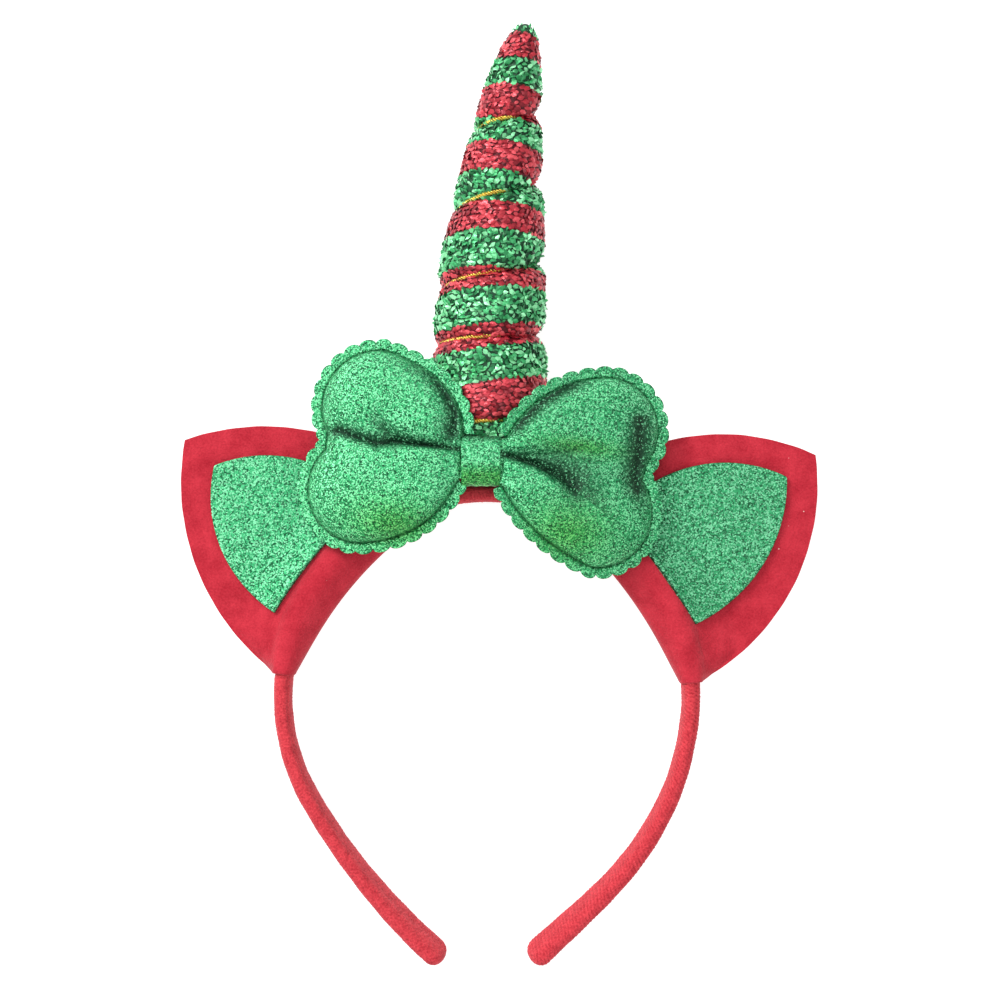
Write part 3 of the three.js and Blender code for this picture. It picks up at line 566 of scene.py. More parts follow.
def leaf_middle(ear, leaf, rows, columns):
    """Middle surface of a leaf: across runs between two arcs from the foot's corners to the point, and the
    foot itself bows towards the band. Its depth follows the front of the felt under it."""
    centre = np.radians(90 - ear["lean"])
    room, wide = band_room(centre)
    foot = BAND_MID + room + FELT + LEAF_START + EAR_HEIGHT * leaf["foot"]
    tip = np.array([BAND_OUTER + EAR_HEIGHT * leaf["tip"], LEAF_POINT])
    share = np.linspace(0, 1, rows)
    across = np.linspace(-1, 1, columns)[None]
    x, y = 0, 0
    for sign, (half, bulge) in ((-1, leaf["upper"]), (1, leaf["lower"])):
        half = EAR_HEIGHT * half
        corner = np.array([np.sqrt((foot + LEAF_FOOT_BOW) ** 2 - half ** 2), half])
        side = arc_between(corner, tip, bulge, share)
        bow = (foot - corner[0]) * (1 - across ** 2) * (1 - share[:, None]) ** 2
        x = x + (side[:, :1] + bow) * (1 + sign * across) / 2
        y = y + side[:, 1:] * across * (sign * across > 0)
    radius, angle = np.hypot(x, y), centre + np.arctan2(y, x)
    edge = np.array([BAND_OUTER + EAR_HEIGHT])
    felt_line = ear_section(edge, np.zeros(1), np.array([centre]), 161)[:60, 0]
    height = np.interp(radius, felt_line[::-1, 0], felt_line[::-1, 1])
    return polar(ear["side"], angle, radius, height + FELT / 2 + LEAF_THICK / 2 + 0.1)


leaf_film = glitter("leaf_glitter", LEAF_GRAIN, 0.85, GREEN_SHADE, GREEN_BODY, GREEN_SPARK)
for name, leaf in LEAVES.items():
    middle = leaf_middle(EARS[name], leaf, 60, 56)
    points, faces = sheet_with_wall(middle, LEAF_THICK, 0.2)
    # Painted shade over the whole leaf from its shade, and every leaf's rim painted fully dark.
    leaf_darkening = np.full(len(points), leaf["shade"])
    leaf_darkening[2 * middle[..., 0].size:] = 1
    piece(f"ear_{name}_leaf", points, faces, f"ear_{name}_leaf", "green_glitter", leaf_film, shade=leaf_darkening)

# Horn. A tapered tube of knit with red and green foil dots in stripes, stuffed hard, closed at its
# blunt tip and sewn to the band's crown. A gold cord cinches it into puffs.

HORN_LENGTH = 147.0
HORN_BELLY = 19.5
HORN_SEAT = 8.0
BELLY_SHARE = 0.14
HORN_TAPER = 0.415
HORN_SWELL = 0.9
HORN_OFFSET = 0.2
HORN_LEAN = 12.0
LEAN_POWER = 2.6
UNDER_FOIL = 0.5
GROOVE_DEEP = 3.4
GROOVE_MORE_RIGHT = 1.5
GROOVE_POWER = 2.2
GROOVE_HALF = 6.5
LIP = 1.7
LIP_ABOVE = 1.6
FLOOR_GAP = 0.05
CORD_START = -0.5
CORD_END = 4.55
FIRST_CROSSING = -1.25
HORN_FOOT = BAND_OUTER * 1.002 + CLEARANCE
HORN_TIP = HORN_FOOT + HORN_LENGTH
BELLY_HEIGHT = HORN_FOOT + HORN_LENGTH * BELLY_SHARE

# Where each turn of the cord crosses the horn's left and right edge, as shares of the horn's length.
CORD_TURNS = np.array([
    [-0.13, -0.06],
    [0.116, 0.149],
    [0.299, 0.327],
    [0.421, 0.484],
    [0.591, 0.657],
    [0.766, 0.807],
    [0.93, 0.985],
    [1.13, 1.19],
])

# Heights of the stripes' borders on the horn's front as shares of its length, green first at the tip.
STRIPE_BORDERS = np.array([
    0.975, 0.92, 0.86, 0.791, 0.734, 0.671, 0.602, 0.543, 0.468, 0.42, 0.343, 0.291, 0.217, 0.138, 0.07,
])
FOIL_RED = np.array([[0.12, 0.003, 0.01], [0.5, 0.022, 0.04], [0.86, 0.1, 0.125]])
FOIL_GREEN = np.array([[0.003, 0.06, 0.018], [0.06, 0.5, 0.17], [0.4, 1.0, 0.54]])


def horn_axis(height):
    """x of the horn's axis: HORN_OFFSET + HORN_LEAN * share ** LEAN_POWER."""
    share = np.maximum((height - HORN_FOOT) / HORN_LENGTH, 0)
    return HORN_OFFSET + HORN_LEAN * share ** LEAN_POWER


def horn_radius(height):
    """Radius before winding: a taper of power HORN_TAPER above the belly, with a bell curve of HORN_SWELL
    half way up, and part of an oval below it."""
    share = (height - HORN_FOOT) / HORN_LENGTH
    swell = HORN_SWELL * np.exp(-((share - 0.5) / 0.14) ** 2)
    taper = (np.maximum(HORN_TIP - height, 0) / (HORN_TIP - BELLY_HEIGHT)) ** HORN_TAPER
    above = HORN_BELLY * taper + swell
    drop = np.clip((BELLY_HEIGHT - height) / (BELLY_HEIGHT - HORN_FOOT), 0, 1)
    below = HORN_BELLY * np.sqrt(1 - drop ** 2 * (1 - (HORN_SEAT / HORN_BELLY) ** 2))
    return np.where(height >= BELLY_HEIGHT, above, below) - UNDER_FOIL


def cord_height(turns):
    """Height of the cord after a number of turns: a monotone cubic through the crossings, half a turn
    apart, whose slope at each crossing is the harmonic mean of the two steps beside it."""
    crossings = CORD_TURNS.ravel()
    steps = np.diff(crossings)
    inner = 2 * steps[:-1] * steps[1:] / (steps[:-1] + steps[1:])
    slopes = np.concatenate([steps[:1], inner, steps[-1:]])
    run = np.clip((turns - FIRST_CROSSING) * 2, 0, len(crossings) - 1.001)
    index = run.astype(int)
    t = run - index
    bend = t * t * (3 - 2 * t) * steps[index]
    start = t * (1 - t) ** 2 * slopes[index]
    end = t * t * (t - 1) * slopes[index + 1]
    return HORN_FOOT + HORN_LENGTH * (crossings[index] + bend + start + end)


def cord_distance(height, angle):
    """Signed height over the nearest turn of the cord, and that turn's place along the cord."""
    turns = angle[..., None] / (2 * np.pi) + np.arange(-2, 8)
    away = height[..., None] - cord_height(turns)
    nearest = np.abs(away).argmin(-1)[..., None]
    return np.take_along_axis(away, nearest, -1)[..., 0], np.take_along_axis(turns, nearest, -1)[..., 0]


def groove(away, turns, angle, radius):
    """Depth of the cinched groove: deep * (1 - d / GROOVE_HALF) ** GROOVE_POWER at a distance d from the
    cord, deeper on the right. It fades out past the cord's two ends."""
    near = np.clip(1 - np.abs(away) / GROOVE_HALF, 0, 1)
    ends = np.clip((turns - CORD_START + 0.12) / 0.1, 0, 1) * np.clip((CORD_END + 0.12 - turns) / 0.1, 0, 1)
    deep = np.minimum(GROOVE_DEEP + GROOVE_MORE_RIGHT * np.sin(angle), radius * 0.46) * ends
    return deep * near ** GROOVE_POWER


def horn_point(height, angle):
    """Point of the horn's skin at a height and an angle from the front. Above each turn of the cord the
    padding hangs over it by LIP * (d / LIP_ABOVE) * exp(1 - d / LIP_ABOVE), most at the right."""
    away, turns = cord_distance(height, angle)
    radius = horn_radius(height)
    over = np.maximum(away, 0) / LIP_ABOVE
    sag = LIP * (0.5 + 0.5 * np.sin(angle)) * over * np.exp(1 - over) * (turns < CORD_END)
    out = np.maximum(radius - groove(away, turns, angle, radius), 0)
    return np.stack([horn_axis(height) + out * np.sin(angle), height - sag, out * np.cos(angle)], -1)


def above_floor(points, front=np.inf):
    """The same points, none of them lower than the floor or prouder than front."""
    floor_depth = -(arc_middle[2] * 1000 + points[..., 1] * UP_THE_HORN[2]) / TO_THE_FRONT[2]
    points[..., 2] = np.clip(points[..., 2], floor_depth + FLOOR_GAP, front)
    return points


def pressed(points):
    """The horn where it is pressed: by the floor at its back, and by the knot at its front."""
    beside = np.hypot((points[..., 0] - BOW_SIDE) / KNOT_WIDE, (points[..., 1] - BOW_HEIGHT) / KNOT_HIGH)
    return above_floor(points, KNOT_BACK - CLEARANCE + 8 * np.clip(beside - 0.62, 0, None))


def stripe_rise(height, angle):
    """How far a stripe rises off its height at the front: radius * (lean * sin(angle) - sag * (1 - cos)).
    The lower stripes rise to the right, and the upper ones fall to it and sag at both sides."""
    share = (height - HORN_FOOT) / HORN_LENGTH
    lean = np.interp(share, [0.1, 0.3, 0.55, 0.75], [0.14, 0.14, -0.04, -0.12])
    sag = np.interp(share, [0.3, 0.5], [0.04, 0.2])
    return horn_radius(height) * (lean * np.sin(angle) - sag * (1 - np.cos(angle)))


def stripe(height, angle):
    """1 in a red stripe and 0 in a green one."""
    level = (height - stripe_rise(height, angle) - HORN_FOOT) / HORN_LENGTH
    count = (level[..., None] < STRIPE_BORDERS).sum(-1)
    return (count % 2).astype(float)


BOW_SIDE = -1.4
BOW_HEIGHT = HORN_FOOT + HORN_LENGTH * 0.0445
BOW_PRESS = 3.3
KNOT_WIDE = 12.4
KNOT_HIGH = 15.8
KNOT_BACK = HORN_BELLY - BOW_PRESS


def foil_knit():
    """The horn's ground: knit between the foil dots, red or green as its stripe, its own dark colour painted
    darker still as shade between the dots.
    """
    knit = Finish("foil_knit", Roughness=0.6, Metallic=0.2)
    threads = knit.place.noise(0.6, 3.0)
    red = threads.blend((0.04, 0.001, 0.004, 1), (0.16, 0.005, 0.012, 1))
    green = threads.blend((0.001, 0.02, 0.008, 1), (0.005, 0.085, 0.03, 1))
    striped = knit.attribute("stripe")
    knit.feed("Base Color", striped.blend(green, red))
    knit.bump(threads, 0.3)
    return knit.material


def foil():
    """A foil dot: bright film in its own colour, slightly crumpled."""
    dot = Finish("foil_dots", Roughness=0.34, Metallic=0.35, Specular_IOR_Level=0.6)
    dot.feed("Base Color", dot.attribute("foil", "Color"))
    dot.bump(dot.place.noise(0.5, 2.0), 0.08)
    return dot.material


heights = np.concatenate([
    np.linspace(HORN_FOOT, HORN_TIP - 4, 310),
    HORN_TIP - 4 * (1 - np.linspace(0, 1, 24)[1:-1]) ** 2.2,
])
height, angle = np.meshgrid(heights, np.linspace(0, 2 * np.pi, 144, endpoint=False), indexing="ij")
points, faces = loft(pressed(horn_point(height, angle)))
striped = with_ends(stripe(height, angle))
stuffed = piece("horn_knit", points, faces, "horn", "striped_foil", foil_knit(), stripe=striped)

# Foil dots. Each is a small leaf of foil bonded to the knit, in staggered rows round the horn. A dot is a
# closed chip of six corners with a raised middle, tilted at random: diamonds that lie like scales in the
# red stripes, ragged chips in the green ones. A second layer fills the gaps, its tones kept darker as
# painted shade between the dots.

DOT_PITCH_UP = 1.5
DOT_PITCH_ROUND = 1.9
DOT_THICK = 0.22
DIAMOND = np.radians([0, 62, 118, 180, 242, 298])
DIAMOND_REACH = np.array([1.1, 0.9, 0.9, 1.1, 0.9, 0.9])


def foil_dots(rows_from, half_wide, half_high, lift, tilt, tone_from, tone_to):
    """Points, faces and colours of a layer of dots in rows DOT_PITCH_UP apart, DOT_PITCH_ROUND apart round
    the horn and shifted by half a pitch in every second row. A dot's corners lie on an uneven hexagon that
    is turned by two random tilts about the skin's own axes, and its tone runs from dark to light."""
    row_height = np.arange(HORN_FOOT + rows_from, HORN_TIP - 0.6, DOT_PITCH_UP)
    per_row = np.maximum(np.round(2 * np.pi * horn_radius(row_height) / DOT_PITCH_ROUND), 4).astype(int)
    row = np.repeat(np.arange(len(row_height)), per_row)
    column = np.arange(len(row)) - np.repeat(np.cumsum(per_row) - per_row, per_row)
    angle = 2 * np.pi * (column + 0.5 * (row % 2)) / per_row[row]
    pitch_turn = DOT_PITCH_ROUND / np.maximum(horn_radius(row_height[row]), 2)
    angle = angle + noise.normal(0, 0.16, len(row)) * pitch_turn
    height = row_height[row] + noise.normal(0, 0.22, len(row))
    height = np.clip(height + stripe_rise(height, angle), HORN_FOOT + 0.3, HORN_TIP - 0.25)
    centre = pressed(horn_point(height, angle))
    step = 0.4
    turn = step / np.maximum(horn_radius(height), 1)
    above, below, right, left = (
        pressed(horn_point(np.minimum(height + up, HORN_TIP), angle + aside))
        for up, aside in ((step, 0), (-step, 0), (0, turn), (0, -turn))
    )
    upward, round_it = unit(above - below), unit(right - left)
    radial = np.stack([np.sin(angle), 0 * angle, np.cos(angle)], -1)
    out = unit(unit(np.cross(round_it, upward)) + 0.35 * radial)
    centre = centre + out * lift
    red = stripe(height, angle)
    nod, sway = noise.normal(0, 1, (2, len(row))) * tilt * (1.5 - 0.7 * red)
    side_axis = unit(round_it + out * np.tan(np.clip(sway, -1, 1))[:, None])
    up_axis = unit(upward + out * np.tan(np.clip(nod, -1, 1))[:, None])
    roll = noise.normal(0, 0.22 + 0.38 * (1 - red), len(row))[:, None]
    side_axis, up_axis = (side_axis * np.cos(roll) + up_axis * np.sin(roll),
                          up_axis * np.cos(roll) - side_axis * np.sin(roll))
    ragged = (0.08 + 0.12 * (1 - red))[:, None]
    corner = DIAMOND[None] + noise.normal(0, 1, (len(row), 6)) * ragged
    reach = DIAMOND_REACH[None] * (1 + noise.normal(0, 1, (len(row), 6)) * ragged)
    size = noise.uniform(0.8, 1.15, (len(row), 1)) * np.clip(reach, 0.5, 1.4)
    narrow = np.clip(horn_radius(height) / 5, 0.45, 1)[:, None]
    wide = (half_wide * size * np.cos(corner) * narrow)[..., None]
    high = (half_high * size * np.sin(corner))[..., None]
    ring = centre[:, None] + wide * side_axis[:, None] + high * up_axis[:, None]
    crown = centre + out * noise.uniform(0.05, 0.3, (len(row), 1))
    base = centre - out * DOT_THICK
    points = np.concatenate([ring, crown[:, None], base[:, None]], 1)
    here = np.arange(6)
    ahead = (here + 1) % 6
    fronts = np.stack([here, ahead, 0 * here + 6], -1)
    backs = np.stack([ahead, here, 0 * here + 7], -1)
    chip = np.concatenate([fronts, backs])
    faces = (chip[None] + 8 * np.arange(len(row))[:, None, None]).reshape(-1, 3)
    tone = np.clip(noise.beta(1.0, 1.1, len(row)) * (tone_to - tone_from) + tone_from, 0, 1)
    steps = np.array([0, 0.5, 1])
    colours = np.stack([
        red * np.interp(tone, steps, FOIL_RED[:, k]) + (1 - red) * np.interp(tone, steps, FOIL_GREEN[:, k])
        for k in range(3)
    ] + [np.ones(len(row))], -1)
    return points.reshape(-1, 3), faces, np.repeat(colours, 8, axis=0)


outer = foil_dots(0.8, 1.08, 0.86, 0.42, 0.3, 0.15, 1.0)
under = foil_dots(0.8 + DOT_PITCH_UP / 2, 1.0, 0.82, 0.16, 0.3, 0.0, 0.75)
points = above_floor(np.concatenate([outer[0], under[0]]))
chips = np.concatenate([outer[1], under[1] + len(outer[0])])
colours = np.concatenate([outer[2], under[2]])
piece("horn_foil_dots", points, [chips], "horn", "striped_foil", foil(), smooth=False, foil=colours)

# Gold cord. Three twisted strands of metallic thread, wound round the horn from its foot and pulled into
# the padding, with both ends caught under the bow and near the tip.

CORD_THICK = 1.5
STRAND = 0.47
STRAND_OUT = 0.42
CORD_LAY = 2.7
CORD_SINK = 1.45
CORD_SEEN_AT = np.radians(-12)
CORD_SEEN_HALF = np.radians(30)
CORD_SEEN = [(0, 0.95), (1, 0.5), (2, 0.5), (3, 1)]
GOLD = (0.93, 0.72, 0.14, 1)
GOLD_DEEP = (0.45, 0.25, 0.03, 1)


def gold_thread():
    """Metallic thread: bright yellow and darker gold mixed in fine cloudy patches, partly its own two tones,
    partly painted glints and painted shade.
    """
    thread = Finish("gold_thread", Roughness=0.3, Metallic=0.75)
    glints = thread.place.noise(0.45, 3.0)
    thread.feed("Base Color", glints.within(0.35, 0.6).blend(GOLD_DEEP, GOLD))
    thread.bump(glints, 0.08)
    return thread.material


def cord_line(turns):
    """The cord's middle line, in the groove at radius - groove + half its thickness and a little. It is
    drawn in by CORD_SINK * (1 - seen * exp(-(angle from CORD_SEEN_AT / CORD_SEEN_HALF)^2))."""
    height, angle = cord_height(turns), 2 * np.pi * turns
    radius = horn_radius(height)
    slope = np.gradient(radius, height)
    off = (angle - CORD_SEEN_AT + np.pi) % (2 * np.pi) - np.pi
    seen = value_at(CORD_SEEN, turns) * np.exp(-(off / CORD_SEEN_HALF) ** 2)
    lift = (CORD_THICK / 2 + CLEARANCE * 1.7) * np.hypot(1, slope) - CORD_SINK * (1 - seen)
    path = radius - groove(0 * turns, turns, angle, radius) + lift
    middle = np.stack([horn_axis(height) + path * np.sin(angle), height, path * np.cos(angle)], -1)
    return pressed(middle - [0, 0, 0.6]) + [0, 0, 0.6]


line = cord_line(np.linspace(CORD_START, CORD_END, 1500))
run = distances(line)
travel = unit(np.gradient(line, axis=0))
out = line - np.stack([horn_axis(line[:, 1]), line[:, 1], 0 * line[:, 1]], -1)
out = unit(out - travel * (out * travel).sum(-1, keepdims=True))
beside = np.cross(travel, out)
around = np.linspace(0, 2 * np.pi, 6, endpoint=False)[None, :, None]
all_points, all_faces = [], [[], []]
for k in range(3):
    twist = (2 * np.pi * (run / CORD_LAY + k / 3))[:, None]
    centre = line + STRAND_OUT * (out * np.cos(twist) + beside * np.sin(twist))
    strand = centre[:, None] + STRAND * (out[:, None] * np.cos(around) + beside[:, None] * np.sin(around))
    points, faces = loft(strand)
    for kept, found in zip(all_faces, faces):
        kept.append(found + k * len(points))
    all_points.append(points)
points, faces = above_floor(np.concatenate(all_points)), [np.concatenate(kept) for kept in all_faces]
piece("horn_cord", points, faces, "horn_cord", "gold_cord", gold_thread())

# Bow. Two loops cut from fine glitter cloth over thin padding: a heat-pressed line runs round each loop
# inside its scalloped rim. The loops are gathered at a pinched waist, so folds run out of the knot.

LOOP_REACH = 54.8
RIM_WIDE = 3.75
SCALLOP_DEEP = 1.5
SCALLOP_PITCH = 5.7
SHEET_THICK = 0.9
LOOP_PUFF = 7.8
PUFF_SHOULDER = 15.0
WAIST_HALF = 1.6
WAIST_RISE = 7.5
WAIST_RUN = 16.0
TAB = 2.8
LOOP_FALL = np.tan(np.radians(12.5))
BOW_TURN = np.radians(-6.5)
STRAP_THICK = 1.2
WAIST_THICK = 3.6
KNOT_CROWN = 1.1
BOW_DEPTH = KNOT_BACK + 2 * CLEARANCE + STRAP_THICK + WAIST_THICK / 2
LOOP_START = KNOT_WIDE / 2 + CLEARANCE
PRESS_DEEP = 0.6
PRESS_HALF = 0.32
# Painted shade along the pressed line.
PRESS_DARK = 0.6

# Lobes of a loop as shares of LOOP_REACH: the lobe's centre and radius, the bend of the edge that leads
# back to the knot (shoulder), and where that edge meets the knot (root).
LOBES = {
    "left_upper": {"x": 0.621, "y": 0.238, "r": 0.331, "shoulder": (0.131, 0.453), "root": 0.111},
    "left_lower": {"x": 0.674, "y": -0.236, "r": 0.306, "shoulder": (0.25, -0.49), "root": -0.115},
    "right_upper": {"x": 0.682, "y": 0.259, "r": 0.303, "shoulder": (0.277, 0.511), "root": 0.15},
    "right_lower": {"x": 0.692, "y": -0.214, "r": 0.313, "shoulder": (0.314, -0.409), "root": -0.115},
}

# Folds of each loop in mm from the knot: the fold's line from its start, its depth at those points, the
# width of its two walls there, first the wall to the left of the line's travel and then the other, and how
# strong the painted shade in it is, with the share of the walls' width that the painted shade covers.
FOLDS = {
    "left": [
        {
            "line": [(5.5, 2.7), (18.6, 2.9), (27.9, 2.9), (32.9, 1.8), (41.4, 3.5), (45.1, 4.6), (49, 3.4)],
            "deep": [2.6, 4.2, 4.2, 3.2, 2.4, 1.8, 0.8],
            "left": [1.2, 2.4, 3.8, 2.8, 2.4, 2.0, 1.6],
            "right": [0.5, 0.6, 0.8, 1.2, 1.4, 1.6, 1.6],
            "dark": (1.0, 1.15),
        },
        {
            "line": [(28, 3.2), (31.5, 7.2), (35.5, 11.4)],
            "deep": [1.8, 1.5, 0.4],
            "left": [2.2, 2.0, 1.6],
            "right": [2.4, 3.0, 3.0],
            "dark": (0.7, 1.0),
        },
        {
            "line": [(26, 28.8), (17.8, 23.9), (13.1, 19.1), (9.7, 14.0), (9.6, 8.2)],
            "deep": [0.5, 1.1, 1.7, 2.2, 2.4],
            "left": [1.2, 1.4, 1.8, 2.4, 3.4],
            "right": [0.8, 0.8, 1.0, 1.2, 1.6],
            "dark": (1.0, 1.35),
        },
        {
            "line": [(20.7, -2.0), (20.8, -9.7)],
            "deep": [0.5, 0.1],
            "left": [0.8, 0.8],
            "right": [0.8, 0.8],
            "dark": (0.2, 0.8),
        },
    ],
    "right": [
        {
            "line": [(5.5, 2.9), (12.9, 1.6), (18.0, 0.3), (23.2, -1.6), (27.1, -3.6), (31.2, -6.3)],
            "deep": [2.6, 4.4, 4.6, 4.4, 3.4, 1.0],
            "left": [0.9, 2.2, 3.6, 5.0, 5.6, 5.0],
            "right": [0.5, 0.6, 0.7, 0.9, 1.3, 2.2],
            "dark": (1.0, 1.7),
        },
        {
            "line": [(6, 3.2), (17.6, 4.0), (27.9, 6.6), (33.3, 8.0)],
            "deep": [0.6, 1.4, 1.2, 0.1],
            "left": [0.5, 0.6, 0.8, 1.2],
            "right": [1.0, 1.8, 2.6, 2.6],
            "dark": (0.7, 1.2),
        },
        {
            "line": [(47.0, 22), (48.2, 16.8), (48.6, 7.5), (48.3, 1.3), (50.6, -7.0)],
            "deep": [0.4, 2.2, 3.0, 2.6, 0.6],
            "left": [2.2, 3.2, 3.2, 2.8, 2.4],
            "right": [2.4, 3.4, 4.0, 3.8, 2.6],
            "dark": (1.0, 1.35),
        },
        {
            "line": [(8.3, 10.0), (11.6, 14.6), (17.0, 21.4), (23.8, 26.4), (29.5, 28.6)],
            "deep": [1.0, 1.6, 2.1, 1.6, 0.6],
            "left": [1.2, 1.2, 1.2, 1.2, 1.0],
            "right": [1.6, 1.9, 2.2, 1.9, 1.6],
            "dark": (1.0, 1.35),
        },
    ],
}

# Painted warm light from below on the film: x, y and the two half widths of an oval, in mm from the knot.
WARM_LIGHT_SPOTS = {"left": [(25, -22.5, 15, 8)], "right": [(29, -19, 14, 10), (30, 8, 13, 3)]}

# The knot's strap, which the rims keep clear of.
STRAP_WIDE = 12.1
STRAP_HIGH = 14.9
STRAP_SHIFT = (-0.37, 0.6)
BOW_GRAIN = 0.36
BOW_SHADE = (0.004, 0.1, 0.034, 1)
BOW_BODY = (0.034, 0.385, 0.138, 1)
BOW_SPARK = (0.26, 0.92, 0.46, 1)


def arc(x, y, r, start, end, count):
    """Points on a circle about (x, y) from one angle to another, in degrees."""
    angle = np.radians(np.linspace(start, end, count))
    return np.stack([x + r * np.cos(angle), y + r * np.sin(angle)], -1)


def bend(start, control, end, count):
    """Points of the curve (1-t)^2 start + 2t(1-t) control + t^2 end."""
    t = np.linspace(0, 1, count)[:, None]
    return (1 - t) ** 2 * np.array(start) + 2 * t * (1 - t) * np.array(control) + t ** 2 * np.array(end)


def evenly(line, count):
    """The same line through count points at even distances along it."""
    run = distances(line)
    spots = np.linspace(0, run[-1], count)
    return np.stack([np.interp(spots, run, line[:, k]) for k in range(line.shape[1])], -1)


def pressed_line(upper, lower, count):
    """The pressed line round a loop, from the upper root over both lobes to the lower root, in mm."""
    top, low = (
        {key: np.multiply(value, LOOP_REACH) for key, value in lobe.items()}
        for lobe in (upper, lower)
    )
    root = LOOP_START + CLEARANCE
    parts = [
        bend((root, top["root"]), top["shoulder"], (top["x"], top["y"] + top["r"]), 60),
        arc(top["x"], top["y"], top["r"], 90, -32, 80),
        arc(low["x"], low["y"], low["r"], 42, -90, 80),
        bend((low["x"], low["y"] - low["r"]), low["shoulder"], (root, low["root"]), 60),
    ]
    return evenly(np.concatenate(parts), count)


def along_line(spots, line):
    """Distance from each spot (..., 2) to an open line, its side (positive to the left of the line's
    travel) and the place of the nearest point, counted in corners."""
    away = np.full(spots.shape[:-1], np.inf)
    side, place = np.zeros_like(away), np.zeros_like(away)
    for index, (start, end) in enumerate(zip(line[:-1], line[1:])):
        step = end - start
        t = np.clip(((spots - start) @ step) / max(step @ step, 1e-9), 0, 1)
        found = np.linalg.norm(spots - start - t[..., None] * step, axis=-1)
        nearer = found < away
        cross = step[0] * (spots[..., 1] - start[1]) - step[1] * (spots[..., 0] - start[0])
        away = np.where(nearer, found, away)
        side = np.where(nearer, cross, side)
        place = np.where(nearer, index + t, place)
    return away, side, place


def fold_height(spots, fold):
    """Height change of one fold, -deep * exp(-d / half) at a distance d from its line, with the depth and
    the half width of the wall on that side taken from the nearest place along the line, and its painted
    shade, dark * exp(-(d / (spread * half))^2)."""
    away, side, place = along_line(spots, np.array(fold["line"], float))
    at = np.arange(len(fold["deep"]))
    deep = np.interp(place, at, fold["deep"])
    half = np.where(side > 0, np.interp(place, at, fold["left"]), np.interp(place, at, fold["right"]))
    dark, spread = fold["dark"]
    height = -deep * np.exp(-np.sqrt(away ** 2 + 0.04) / half)
    return height, dark * np.clip(deep / 1.4, 0, 1) * np.exp(-(away / (spread * half)) ** 2)


